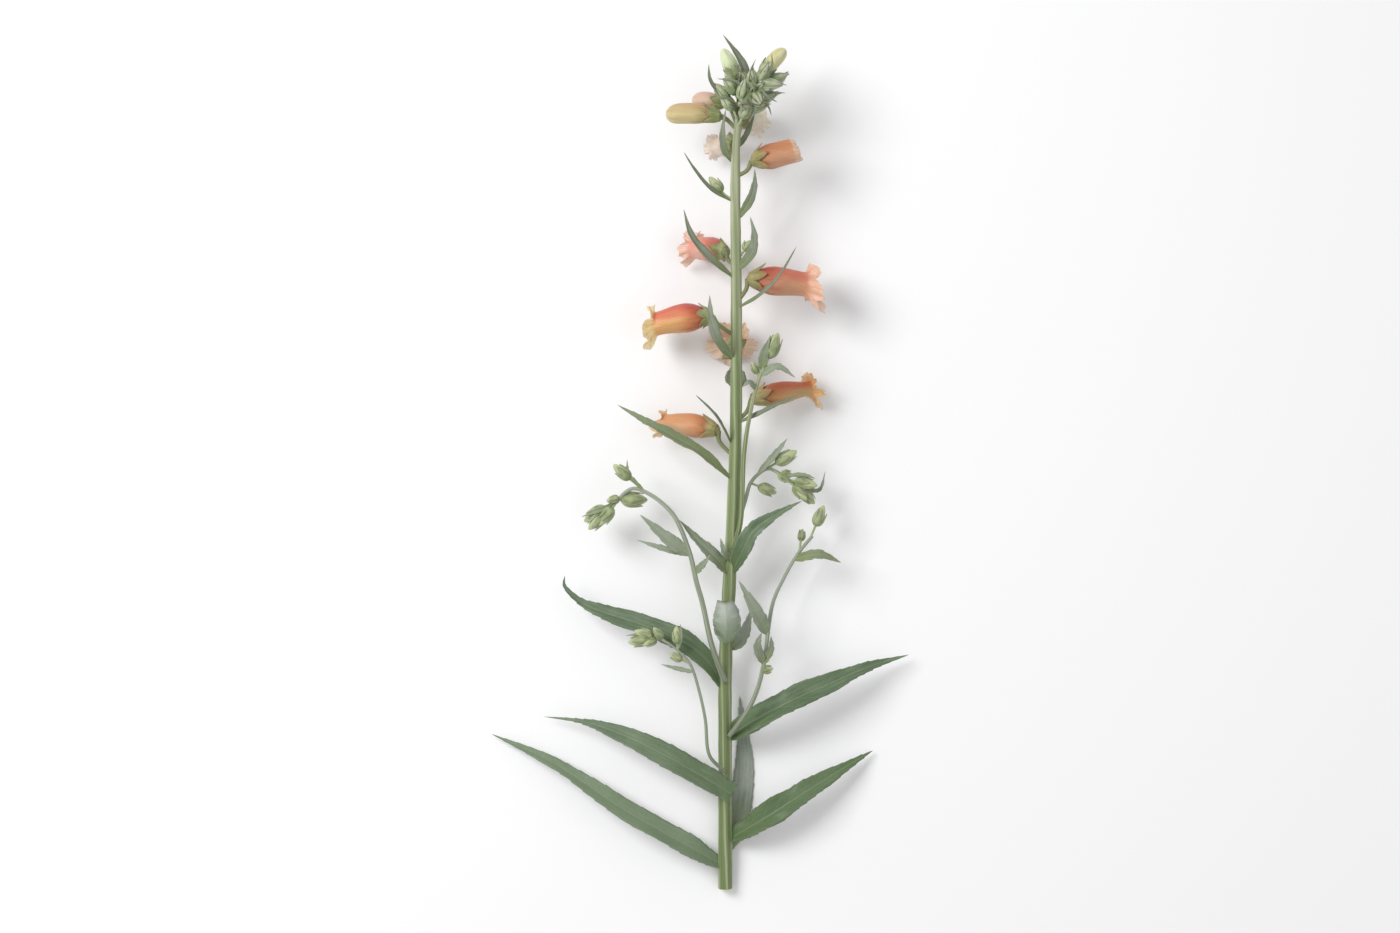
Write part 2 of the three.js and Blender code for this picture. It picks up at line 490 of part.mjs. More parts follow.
function shoot({ path, radius, buds, leaves }) {
  const axis = curve(path);
  const parts = [tube(axis, (u) => radius * (1 - 0.35 * u), 4, even(12))];
  for (const [share, tip, length] of buds) {
    const root = axis.getPointAt(Math.min(share, 0.985));
    const middle = root.clone().lerp(point(tip), 0.45).toArray();
    parts.push(budlet([root.toArray(), middle, tip], length, length * 0.28));
  }
  for (const [share, points, width] of leaves) {
    const root = axis.getPointAt(share).toArray();
    parts.push(blade({ path: [root, ...points], width, face: [0, 0.3, 1], steps: 3, thick: BRACT }));
  }
  return fuse(parts);
}

// ---- Assembly ----------------------------------------------------------------------------------------------

const materials = {
  stem: new THREE.MeshStandardMaterial({ color: "#8a9a5e", roughness: 0.6, metalness: 0 }),
  leaf: new THREE.MeshStandardMaterial({ color: "#4f6b3c", roughness: 0.55, metalness: 0,
    side: THREE.DoubleSide }),
  calyx: new THREE.MeshStandardMaterial({ color: "#7f9a55", roughness: 0.6, metalness: 0 }),
  petal: new THREE.MeshStandardMaterial({ color: "#e08a66", roughness: 0.5, metalness: 0,
    side: THREE.DoubleSide }),
  bud: new THREE.MeshStandardMaterial({ color: "#d9bd7c", roughness: 0.5, metalness: 0 }),
  stamen: new THREE.MeshStandardMaterial({ color: "#efdca0", roughness: 0.6, metalness: 0 }),
};

const spike = new THREE.Group();
const stemRoom = leafyStem(GAP); // the stem with its clearance, cut out of all that grows from it

// Adds a solid to the spike as a named mesh.
function add(name, whole, material) {
  const { vertProperties, triVerts } = biggest(whole).getMesh();
  const geometry = new THREE.BufferGeometry();
  geometry.setAttribute("position", new THREE.BufferAttribute(vertProperties, 3));
  geometry.setIndex(new THREE.BufferAttribute(triVerts, 1));
  geometry.computeVertexNormals();
  const mesh = new THREE.Mesh(geometry, material);
  mesh.name = name;
  spike.add(mesh);
}

add("stem", leafyStem(0), materials.stem);
for (const leaf of LEAVES) add(leaf.name, blade(leaf).subtract(stemRoom), materials.leaf);
for (const b of BLOOMS) {
  add(`${b.name}_calyx`, stalk(b, tubeWall, TUBE_RINGS[1] * b.tube, SEPALS * b.tube).subtract(stemRoom),
    materials.calyx);
  add(`${b.name}_petals`, petals(b), materials.petal);
  add(`${b.name}_stamens`, stamens(b), materials.stamen);
}
for (const b of BUDS) {
  add(`${b.name}_calyx`, stalk(b, budWall, BUD_RINGS[2] * b.length, SEPALS * b.length).subtract(stemRoom),
    materials.calyx);
  add(`${b.name}_petals`, budPetals(b), materials.bud);
}
for (const s of SHOOTS) add(s.name, shoot(s).subtract(stemRoom), materials.stem);

const middle = new THREE.Box3().setFromObject(spike, true).getCenter(new THREE.Vector3());
spike.position.set(-middle.x, -middle.y, 0);

export default spike;
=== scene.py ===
"""A foxglove flower spike, cut from its plant and laid on its back, looked at from straight above.

Every skin is worked out in the plan of the spike, in millimetres: +Y runs up the stem from the cut, +X is to
the right and +Z points up from the surface. piece() takes the points into the frame, in metres, by two packed
leaves. Skins replace the plain solids, keep their forms, and add thin edges, veins and ribs.
"""
from collections import namedtuple

import bpy
import numpy as np
from numpy import cos, pi, sin
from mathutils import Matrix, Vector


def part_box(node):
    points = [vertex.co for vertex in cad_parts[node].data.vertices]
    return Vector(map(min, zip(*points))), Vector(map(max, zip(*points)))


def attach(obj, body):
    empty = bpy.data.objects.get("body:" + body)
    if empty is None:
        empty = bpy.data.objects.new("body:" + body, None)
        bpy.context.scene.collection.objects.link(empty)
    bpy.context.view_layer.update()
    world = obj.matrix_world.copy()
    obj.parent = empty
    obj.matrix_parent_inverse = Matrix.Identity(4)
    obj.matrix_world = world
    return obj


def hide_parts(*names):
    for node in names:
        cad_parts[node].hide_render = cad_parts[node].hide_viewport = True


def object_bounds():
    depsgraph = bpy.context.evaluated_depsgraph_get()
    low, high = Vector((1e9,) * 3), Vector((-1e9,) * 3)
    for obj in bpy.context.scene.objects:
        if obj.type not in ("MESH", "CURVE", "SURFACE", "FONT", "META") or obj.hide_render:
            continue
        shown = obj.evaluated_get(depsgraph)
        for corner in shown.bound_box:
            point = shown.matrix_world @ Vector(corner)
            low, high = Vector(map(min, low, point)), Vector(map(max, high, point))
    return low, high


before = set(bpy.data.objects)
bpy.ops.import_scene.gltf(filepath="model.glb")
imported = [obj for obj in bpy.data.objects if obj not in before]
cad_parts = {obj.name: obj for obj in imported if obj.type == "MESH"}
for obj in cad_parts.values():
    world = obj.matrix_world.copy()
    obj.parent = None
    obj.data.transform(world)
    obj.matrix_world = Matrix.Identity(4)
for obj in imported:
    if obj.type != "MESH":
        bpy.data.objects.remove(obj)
cad_low, cad_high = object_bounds()

MM = 0.001
TAU = 2 * pi
GOLDEN = pi * (3 - np.sqrt(5))
LEAF_1_TIP_X = -99.54  # where the plan puts the outermost corner of leaf_1
LEAF_3_TIP_Y = 81.0  # and the top of leaf_3
SHIFT = np.array([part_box("leaf_1")[0].x / MM - LEAF_1_TIP_X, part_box("leaf_3")[1].y / MM - LEAF_3_TIP_Y, 0])
SURFACE = 0.02  # nothing that lies on the surface goes below this height

# The stem: its midline, its radius at the cut and how much of it goes on the way up and at the tip.
STEM_PATH = [
    (-1.2, 0, 3), (-1.3, 50, 7), (-1.2, 95, 12), (0.5, 130, 15.8), (2.2, 165, 19.3), (3.2, 200, 22.3),
    (3.3, 250, 25.2), (2.9, 292, 27.2), (3.6, 315, 28.5), (6, 325.5, 30), (9.8, 331.5, 33.5),
    (12.5, 333.5, 39.5),
]
CUT_RADIUS, STEM_TAPER, TIP_TAPER = 3.0, 0.8, 1.1
SLIM = 0.965  # radius of the stem's skin as a share of the solid's, which leaves room for its ribs
SPIKE_LENGTH, STEM_RUN = 355, 0.965  # a height as great as this length is at this share of the stem's run
RIBS, LOBES = 5, 5
NECK, BELLY_AT, BELLY_SAG = 0.34, 0.45, 0.1
PEDICEL = 0.85
VEIN_SLOPE, VEIN_GAP, VEIN_STAGGER = 1.7, 7.0, 0.25  # side veins of a leaf

# Stem leaves, from 1: midrib from stem to tip, width, way the upper side looks, teeth on each edge, tone,
# which is partly the leaf's own green and partly painted light and shade for how the lamps light it.
LEAVES = [
    dict(path=[(-1, 9, 3), (-17, 18.7, 9), (-44, 34.3, 11), (-72, 52.4, 7), (-99.5, 65, 2.2)],
         width=10, face=(0.1, 0.5, 1), teeth=22, tone=0.9),
    dict(path=[(0, 20.5, 4), (18, 32, 10), (38, 44.8, 9), (61, 58, 2)],
         width=11.5, face=(-0.1, 0.5, 1), teeth=18, tone=-0.8),
    dict(path=[(-1, 15, 3.4), (3, 25, 1.5), (5.6, 38, 0.4), (7, 52, 0.4), (6.4, 66, 0.4), (5, 81, 0.4)],
         width=10, face=(0, 0, 1), teeth=14, fold=0, wave=0, tone=-0.2),
    dict(path=[(1.4, 40.2, 9), (-3.5, 43.5, 10.4), (-14, 50, 13.5), (-32, 59.9, 14.5), (-50, 67.6, 11.5),
               (-62, 70.8, 8), (-77.4, 72.4, 4)],
         width=10.6, face=(0.1, 0.35, 1), teeth=22, foot=1, slim=0.5, tone=0.4),
    dict(path=[(0, 63.5, 8), (8, 69.8, 13), (26, 79.8, 16.5), (45, 88, 13.5), (60, 94, 9.5), (76, 98.5, 5.5)],
         width=11, face=(-0.1, 0.5, 1), teeth=20, slim=0.2, tone=-0.3),
    dict(path=[(-1.5, 84, 10.5), (-7, 94, 15.5), (-15.3, 102.3, 18), (-24, 107, 19), (-38, 112.3, 18),
               (-51, 116.3, 15), (-61, 120.6, 13), (-68, 127, 12), (-68.2, 132, 13)],
         width=9.8, face=(0.1, 0.4, 1), teeth=22, slim=0.45, tone=0.1),
    dict(path=[(-0.8, 103, 13), (-0.6, 108, 22.5), (-0.8, 114, 29.5), (-1.6, 121.5, 33.5)],
         width=12, face=(0, 1, -0.3), teeth=10, fold=0.55, blunt=0.9),
    dict(path=[(0.5, 133, 16.5), (-5, 139, 21), (-12, 146, 23.5), (-20.3, 155.3, 23.2)],
         width=6.6, face=(0.3, 0.5, 1), teeth=10, tone=-0.2),
    dict(path=[(1.5, 133, 17), (5.8, 142.5, 22.5), (10, 150.5, 26), (18, 156.6, 27), (30.5, 163.3, 25.5)],
         width=7.6, face=(-0.2, 0.2, 1), teeth=12, tone=-0.2),
    dict(path=[(1.5, 172, 20.5), (-12, 183.5, 28), (-26, 191.5, 30), (-36, 197, 29), (-46, 203, 26.5)],
         width=6, face=(0.2, 0.7, 0.8), teeth=14, tone=-0.6),
    dict(path=[(0.8, 101, 11.5), (5, 105.5, 12), (7.6, 111.5, 14.5), (9.4, 118, 17.5)],
         width=6, face=(0.4, 0.2, 1), teeth=8, tone=-0.4),
    dict(path=[(1, 138, 18), (-1.8, 142, 22), (-3.3, 147.8, 22.5)], width=3.4, face=(0.2, 0.5, 1), teeth=5),
]

# Open blooms, from 1. First line: height of the stalk's root, a point it passes, foot of the calyx, way the
# mouth faces, length and arch of the tube, radius of the belly, throat as a share of it, and how far up the
# sepals reach. Second line: size of the lobes, how far they turn back, fan out, are frilled and cut apart,
# and how much they twist and roll.
FLOWER = "at via base aim length arch belly "
Bloom = namedtuple("Bloom", FLOWER + "throat reach gape spread fan frill cleft twist roll", defaults=(0, 0))
BLOOMS = [Bloom(*row) for row in [
    (181, (-3.5, 187.5, 20), (-5, 192.5, 19.95), (-1, 0.15, -0.5), 24, 1.2, 5, 0.76, 0.25,
     0.6, 0.85, 0.35, 0.6, 0.9, 2, 0.3),
    (196, (7.5, 200, 22), (10.5, 205.5, 20.18), (1, 0.2, -0.5), 26.5, 0.9, 4.8, 0.62, 0.26,
     0.8, 1.4, 0.7, 1.6, 0.85, 3),
    (221, (2.2, 224, 20), (1.8, 226.5, 18.6), (-0.02, 0.22, -1), 11, 0, 5.2, 0.95, 0.31,
     1.05, 1.2, 0.8, 1.5, 0.6),
    (231, (-4, 236, 25), (-7.5, 239.5, 24), (-1, -0.12, -0.2), 22.5, 1.5, 6.1, 0.8, 0.2,
     0.95, 1.1, 0.9, 0.5, 0.45, 1, 0.7),
    (245, (7.2, 250.5, 26.5), (9, 255, 26), (1, -0.08, -0.22), 23, 0.8, 6, 0.84, 0.24,
     1.12, 0.8, 0.8, 0.8, 0.5, 1.5, 1.6),
    (260, (0, 263, 23), (-1.5, 266.5, 21.77), (-0.72, 0.16, -0.72), 17, 0.6, 5.3, 0.85, 0.22,
     0.7, 0.85, 0.8, 1.4, 0.55, 1),
    (297, (7.5, 299.5, 28.5), (10.5, 303.5, 29), (1, 0.28, -0.08), 16, 0.6, 5.3, 0.96, 0.34,
     0.45, -0.5, 0.3, 0.05, 0.12),
    (304.5, (2.8, 307.5, 25), (2.4, 311, 22.8), (-0.5, 0.02, -0.87), 14, 0.3, 4.4, 0.8, 0.31,
     0.5, 0.6, 0.7, 1, 0.6),
    (312, (4.6, 316.5, 25), (4.6, 321.5, 23), (0.42, 0.05, -0.9), 15, 0.3, 4.3, 0.88, 0.31,
     0.65, 0.6, 0.7, 1, 0.6),
]]

# Coloured buds, still closed, from 1: as a bloom's first line, but with the length of the whole corolla, and
# for the throat the share of that length where the end begins.
Bud = namedtuple("Bud", FLOWER + "shoulder reach")
BUDS = [Bud(*row) for row in [
    (316, (0, 320, 28.5), (-4, 322, 28.5), (-1, 0.05, -0.1), 22, 0.8, 4.3, 0.7, 0.3),
    (317.5, (1, 325, 25.5), (-2, 328, 23.5), (-0.9, 0.12, -0.35), 14, 0.4, 3.7, 0.6, 0.34),
    (321, (11.5, 330.5, 28), (13.6, 338.5, 32), (0.66, 0.72, 0.12), 14.5, 0.3, 3.1, 0.6, 0.42),
    (325.5, (3.6, 332, 29), (2.8, 338, 28), (-0.4, 0.9, 0.08), 13, 0.2, 3.4, 0.3, 0.4),
]]

# Bracts on the main stem: midrib, width and the way the upper side looks.
BRACTS = [
    ([(1.2, 187, 22), (-5, 198, 31.5), (-13.5, 207, 32.5)], 2.6, (1, 0.6, 0.6)),
    ([(4, 195.5, 22), (12, 199, 28), (20, 203, 29.5), (29, 207, 28)], 2.8, (-0.2, 0.6, 1)),
    ([(3, 209, 22.5), (3.2, 212.5, 13), (2.8, 217, 8.8), (2.2, 221, 8.6)], 9.5, (0, 0, 1)),
    ([(2, 222, 24.5), (-4, 230, 32), (-7, 239, 33.5), (-7.8, 248, 32.5)], 5, (-0.4, 0.1, 1)),
    ([(4, 243, 25.5), (13, 248, 33), (21, 256, 35), (28, 268, 33.5)], 2.6, (-0.8, 0.5, 0.7)),
    ([(1.5, 256, 26), (-8.5, 264, 31), (-15.5, 273, 32), (-18.5, 283.5, 30.5)], 4.4, (0.4, 0.5, 1)),
    ([(3.2, 279, 26.5), (8.8, 287, 30), (10.8, 293.5, 31), (10.8, 300, 32)], 4, (-0.3, -0.3, 1)),
    ([(2, 303, 25.5), (-1.6, 309, 29.5), (-2.2, 316, 31), (-1.2, 324.5, 31)], 3.8, (-0.6, 0, 1)),
    ([(4, 309, 27.5), (8, 316, 25), (11, 324, 25)], 2.8, (0.2, 0.3, 1)),
    ([(3.6, 321, 29.5), (-2.5, 329, 34), (-7.5, 336, 34.5), (-8.2, 343, 32.5)], 3, (0.4, 0.5, 1)),
    ([(3.6, 322, 31), (5, 332, 35.5), (6.4, 340, 36.8), (3, 347, 36.5), (-2.4, 355, 34.5)], 5, (0.5, 0, 1)),
    ([(1.5, 287, 27), (-7, 291.5, 31.5), (-13.5, 299, 32.5), (-18.5, 307, 31.5)], 2.4, (0.5, 0.5, 1)),
    ([(3, 258, 26), (9.5, 265, 29.5), (11, 272, 30), (9, 280.5, 29)], 5, (-0.6, 0, 1)),
]

# Small green buds on the main stem: height of the root, a point passed, tip, length and radius of the bud.
STEM_BUDS = [(287, (-2.5, 290.5, 28), (-8, 297, 28.5), 8, 2.1), (262, (6, 266, 26.5), (9.5, 271, 26), 5, 1.8)]

# Buds that follow the tip of the stem in a spiral: how many, share of the stem where they begin, length of
# the first and the last one, radius as a share of the length, and how far they lean up the stem. By each one
# stand three narrow leaves: width, and how far out they reach in lengths of the bud.
TIP_COUNT, TIP_START, TIP_FIRST, TIP_LAST, TIP_PLUMP, TIP_LEAN = 9, 0.962, 9, 5, 0.2448, 0.16
TIP_LEAVES = [(2.4, 1.7), (1.3, 1.45), (1.1, 1.3)]

# More of them crowd round the nodding tip, given as the buds on the stem are, with spikes: midrib and width.
CROWDED_BUDS = [
    (317, (5.6, 321, 33), (8.8, 327.5, 36), 8, 2.2), (318, (2.4, 323, 33), (-3, 331, 34), 8.5, 2.2),
    (321, (0.6, 328, 34), (-6, 334.5, 33), 8.5, 2), (321, (9, 324.5, 33), (16, 327, 34), 8.5, 2.2),
    (324, (11, 327, 36), (19, 330.5, 36), 9, 2.3), (325, (15, 333.5, 38), (23, 338, 36), 10, 2.7),
    (323, (5, 328, 36), (6.8, 335.5, 40), 8.5, 2.2), (325, (10, 330, 38), (12.6, 326, 42), 7.5, 2.1),
    (325, (13, 334, 42), (20.5, 333.5, 42), 9, 2.2), (324, (3, 330, 35), (-1.5, 337.5, 36), 8.5, 2.1),
    (325, (10, 334, 42), (9.5, 339, 44), 7, 2), (325, (13, 336, 43), (15.5, 341, 42), 7.5, 2),
]
SPIKES = [
    ([(12, 333, 40), (18, 334.5, 42), (24, 333.5, 39)], 1.3),
    ([(12, 331, 38), (18, 330.5, 40), (23.5, 330.6, 37)], 1.3),
    ([(8, 330, 38), (3, 335, 40), (-5, 336.6, 36)], 1.5),
    ([(13, 328, 37), (16, 325.5, 37), (17.6, 321.8, 34)], 1.3),
    ([(11, 328, 37), (11, 324, 38), (9.5, 320.5, 35)], 1.4),
    ([(14, 335, 42), (17.5, 341, 42), (17.6, 347, 38)], 1.4),
    ([(4, 326, 35), (-2, 329, 37), (-8, 328, 34)], 1.3),
    ([(9, 331, 41), (6.5, 327, 43), (3.5, 324.5, 40)], 1.5),
    ([(13, 332, 43), (15.5, 328.5, 44), (20, 326.5, 40)], 1.5),
    ([(11, 334, 44), (9, 338, 45), (11, 344, 42)], 1.4),
]

# Side shoots: radius, path, buds (share of the path, tip, length), leaves (share of the path, points, width).
SHOOTS = {
    "shoot_left_1": (
        1.25,
        [(-1.5, 88, 15), (-7, 104, 24.5), (-10.5, 120, 25), (-13.3, 130, 25.5), (-15.8, 141, 25),
         (-20, 152.5, 27), (-24, 159, 25.5), (-31, 165, 23.5), (-38.5, 168.3, 21.5), (-43, 166.5, 20.5),
         (-46.5, 162.5, 19.5)],
        [(0.86, (-47.7, 178.3, 23), 9), (1, (-33.5, 163.6, 17), 12), (1, (-60, 154.5, 16), 11),
         (1, (-58, 151.3, 20.5), 10), (1, (-53.5, 153, 22), 9), (0.97, (-50.5, 163, 22), 5)],
        [(0.54, [(-25, 147.5, 27.5), (-36.5, 157.5, 27.5)], 6), (0.54, [(-27, 143.5, 23), (-38, 147, 21)], 3),
         (0.47, [(-11, 136.5, 27.5), (-7.5, 141, 29.5)], 3.4),
         (0.86, [(-41, 174, 23.5), (-42, 180.5, 24)], 1.8),
         (1, [(-54, 159, 22), (-61, 156.5, 19)], 2.2), (1, [(-52, 157, 22), (-55, 151.5, 20)], 1.8)],
    ),
    "shoot_left_2": (
        0.8,
        [(-1.5, 50, 10.5), (-8, 58, 20), (-9.5, 72, 21), (-12, 84, 22), (-15.5, 95, 24.5), (-20.5, 101, 25.5),
         (-26, 105, 25.5), (-31, 107, 24.5)],
        [(0.74, (-24.5, 99.8, 25), 5.5), (0.84, (-21.5, 111.5, 27), 7), (1, (-39, 109.5, 25.5), 8),
         (1, (-41.5, 104.5, 23.5), 9), (0.97, (-35.5, 103.5, 26), 6), (0.93, (-31, 111, 27), 5.5)],
        [(0.68, [(-21.5, 93.8, 23), (-28, 95.5, 22.5)], 2.2),
         (0.84, [(-19.5, 107, 27), (-19.8, 112.5, 26.5)], 1.6),
         (1, [(-36, 108, 25.5), (-42.5, 107.5, 24)], 1.8)],
    ),
    "shoot_right_1": (
        1.1,
        [(2, 143, 19), (5.2, 156, 23), (6.5, 183, 26), (9.6, 202.5, 30), (13, 215, 31.5),
         (15.5, 219.5, 31.5)],
        [(1, (20.5, 232.5, 31), 11), (0.92, (9.5, 220.5, 31.5), 5)],
        [(0.93, [(20, 218.5, 34), (27.5, 214, 33.5)], 3.4), (0.86, [(8.5, 212, 34.5), (5.5, 210, 35.5)], 2.6),
         (0.96, [(14.8, 224, 33), (17, 230.5, 33.5)], 4.4)],
    ),
    "shoot_right_2": (
        0.9,
        [(2.5, 149, 16), (7, 163, 16.5), (9.5, 171, 18), (15.5, 176.3, 19), (20, 175.3, 18.5),
         (25, 172, 18.5), (31, 168, 17.5)],
        [(0.58, (28.5, 184, 20.5), 10), (0.46, (20.2, 166.3, 12.5), 8.5), (0.75, (27, 174, 15), 5),
         (0.86, (37, 169.5, 21.5), 9.5), (0.9, (36, 162, 17.5), 9.5), (0.84, (32.5, 163.5, 22), 8),
         (0.7, (25.5, 170.8, 20), 5.5)],
        [(0.55, [(19.8, 183, 22), (24.5, 189.2, 22)], 3),
         (0.92, [(37.5, 167.5, 15.5), (40.5, 175.5, 16.5)], 2), (0.8, [(31, 174, 22), (36, 172.5, 23)], 2)],
    ),
    "shoot_right_3": (
        1.0,
        [(0.6, 65, 12), (4.3, 70.5, 18), (9, 78, 21.5), (12.6, 87, 23.5), (15.2, 99, 24), (16.6, 110, 22),
         (18.6, 121, 19.5), (22.5, 130, 19), (28.5, 140.5, 18), (35, 148.5, 17)],
        [(1, (39.8, 161.3, 17.5), 9), (0.91, (31, 151.5, 14), 5), (0.36, (18.5, 94, 24), 6)],
        [(0.52, [(11.2, 118, 28.5), (4.2, 130.5, 30)], 6), (0.39, [(12, 103, 29), (13.6, 109, 31)], 4),
         (0.39, [(17.5, 102, 27), (17.6, 107.5, 28)], 3.2),
         (0.87, [(37.5, 141, 21.3), (47, 137.5, 17)], 4.4)],
    ),
}

# Curves and skins


def unit(vector):
    """A vector of length 1 that points the same way."""
    vector = np.asarray(vector, float)
    return vector / np.linalg.norm(vector, axis=-1, keepdims=True)


def smooth(x):
    """An eased step from 0 to 1, as x goes from 0 to 1: x^2 (3 - 2 x)."""
    x = np.clip(x, 0, 1)
    return x * x * (3 - 2 * x)


def hump(x, width):
    """A bell-shaped bump, 1 at x = 0 and gone about twice the width away: e to the minus (x / width)^2."""
    return np.exp(-((x / width) ** 2))


def around(columns):
    """Angles evenly round a ring, as one row."""
    return np.linspace(0, TAU, columns, endpoint=False)[None, :]


def up_to(last, rows):
    """Even steps from 0 to the last, as one column."""
    return np.linspace(0, last, rows)[:, None]


class Path:
    """A smooth curve through chosen points, by Catmull-Rom spans, with end points mirrored past the ends."""

    def __init__(self, points):
        chosen = np.array(points, float)
        self.points = np.vstack([2 * chosen[0] - chosen[1], chosen, 2 * chosen[-1] - chosen[-2]])
        self.spans = len(chosen) - 1
        self.fine = np.linspace(0, 1, 801)
        steps = np.linalg.norm(np.diff(self.at(self.fine), axis=0), axis=1)
        self.run = np.concatenate([[0], np.cumsum(steps)])
        self.length = self.run[-1]

    def _span(self, t):
        """How far into its span the share t is, and the terms of twice the cubic there."""
        x = np.clip(np.asarray(t, float), 0, 1) * self.spans
        i = np.minimum(x.astype(int), self.spans - 1)
        a, b, c, d = (self.points[i + k] for k in range(4))
        return (x - i)[..., None], 2 * b, c - a, 2 * a - 5 * b + 4 * c - d, 3 * b - a - 3 * c + d

    def at(self, t):
        f, start, slope, bend, twist = self._span(t)
        return 0.5 * (start + slope * f + bend * f**2 + twist * f**3)

    def way(self, t):
        """The way the curve runs at the share t of its chosen points."""
        f, _, slope, bend, twist = self._span(t)
        return unit(slope + 2 * bend * f + 3 * twist * f**2)

    def by_length(self, u):
        """The share t of the chosen points at the share u of the curve's length."""
        return np.interp(np.asarray(u, float) * self.length, self.run, self.fine)

    def along(self, u):
        return self.at(self.by_length(u))


# A closed mesh: its points, its faces with four and with three sides, and marks, which are numbers at every
# point that materials read.
Skin = namedtuple("Skin", "points quads fans marks")


def loft(rings, **marks):
    """A skin through rows of rings, with a pole in the middle of the first and of the last ring.

    rings is rows by columns by xyz. A mark is one number, one for each row or column, or one for each point.
    """
    rows, columns = rings.shape[:2]
    points = np.vstack([rings.reshape(-1, 3), rings[0].mean(0), rings[-1].mean(0)])
    j = np.arange(columns)
    k = (j + 1) % columns
    row = np.arange(rows - 1)[:, None] * columns
    quads = np.stack([row + j, row + k, row + columns + k, row + columns + j], -1).reshape(-1, 4)
    first, last, end = rows * columns, rows * columns + 1, (rows - 1) * columns
    fans = np.vstack([
        np.stack([np.full(columns, first), k, j], -1),
        np.stack([np.full(columns, last), end + j, end + k], -1),
    ])
    spread = {}
    for name, value in marks.items():
        grid = np.broadcast_to(value, (rows, columns))
        spread[name] = np.concatenate([grid.ravel(), [grid[0].mean(), grid[-1].mean()]])
    triangles = np.vstack([quads[:, [0, 1, 2]], quads[:, [0, 2, 3]], fans])
    a, b, c = (points[triangles[:, n]] for n in range(3))
    if np.einsum("ij,ij->", a, np.cross(b, c)) < 0:  # inside out
        quads, fans = quads[:, ::-1], fans[:, ::-1]
    return Skin(points, quads, fans, spread)


def joined(skins):
    """Several skins as one. A mark that a skin doesn't have is 0 on it."""
    names = sorted({name for skin in skins for name in skin.marks})
    starts = np.cumsum([0] + [len(skin.points) for skin in skins])
    return Skin(
        np.vstack([skin.points for skin in skins]),
        np.vstack([skin.quads + start for skin, start in zip(skins, starts)]),
        np.vstack([skin.fans + start for skin, start in zip(skins, starts)]),
        {n: np.concatenate([skin.marks.get(n, np.zeros(len(skin.points))) for skin in skins]) for n in names},
    )


def added(name, data):
    """A new object in the scene."""
    obj = bpy.data.objects.new(name, data)
    bpy.context.scene.collection.objects.link(obj)
    return obj


def piece(name, skins, finish, node=None):
    """An object from skins, in one finish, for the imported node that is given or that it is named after."""
    skin = joined(skins)
    mesh = bpy.data.meshes.new(name)
    faces = skin.quads.tolist() + skin.fans.tolist()
    mesh.from_pydata((skin.points + SHIFT) * MM, [], faces, shade_flat=False)
    mesh.validate()
    for mark, values in skin.marks.items():
        mesh.attributes.new(mark, "FLOAT", "POINT").data.foreach_set("value", values.astype(np.float32))
    mesh.materials.append(finish.material)
    obj = added(name, mesh)
    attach(obj, "root")
    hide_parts(node or name)


def tube(line, radius, shares, columns, **marks):
    """A round skin along a path, with radius(u, angle) at every share u of its length and every angle.

    A point is the path's own at u, plus the radius times cos(angle) normal + sin(angle) across. The normal is
    carried up the path, turned only as much as the path turns.
    """
    t = line.by_length(shares)
    way = line.way(t)
    normals = np.empty_like(way)
    carried = np.array([0.31, 0.17, 1.0])
    for i, along in enumerate(way):
        carried = unit(carried - carried.dot(along) * along)
        normals[i] = carried
    normals, across = normals[:, None], np.cross(way, normals)[:, None]
    u, angle = shares[:, None], around(columns)
    top, side = cos(angle), sin(angle)
    reach = np.broadcast_to(radius(u, angle), (len(way), columns))[..., None]
    rings = line.at(t)[:, None] + reach * (normals * top[..., None] + across * side[..., None])
    return loft(rings, along=u, top=top, side=side, **marks)


class Axis:
    """Places points by s along an axis, r from it and the angle round it, with 0 on the uppermost side.

    The axis is bowed up by arch sin(pi s / length), and runs on straight before its foot and past its end.
    """

    def __init__(self, base, aim, up=(0, 1, 0), arch=0, length=1):
        self.base, self.out = np.array(base, float), unit(aim)
        self.top = unit(np.array(up, float) - np.dot(up, self.out) * self.out)
        self.side = np.cross(self.out, self.top)
        self.arch, self.length = arch, length

    def place(self, s, r, angle):
        s, r, angle = (value[..., None] for value in np.broadcast_arrays(s, r, angle))
        t = s / self.length
        past = np.minimum(t, 0) - np.maximum(t - 1, 0)
        bow = self.arch * (sin(pi * np.clip(t, 0, 1)) + pi * past)
        return self.base + s * self.out + (bow + r * cos(angle)) * self.top + r * sin(angle) * self.side


# Blades


def section(steps):
    """Stations round a thin section: c goes from edge to edge over the upper side and back below it."""
    c = np.concatenate([steps[::-1], steps[1:-1]])
    return c[None, :], np.arange(len(c))[None, :] >= len(steps)


def rounded(c, thick):
    """Half the thickness of a thin section with rounded edges: thick / 2 (1 - c^3)^0.6."""
    return thick / 2 * (1 - np.abs(c) ** 3) ** 0.6


EVEN = np.linspace(-1, 1, 15)
CLOSER = np.sign(EVEN) * np.abs(EVEN) ** 1.5  # stations across a blade, closer together at the midrib


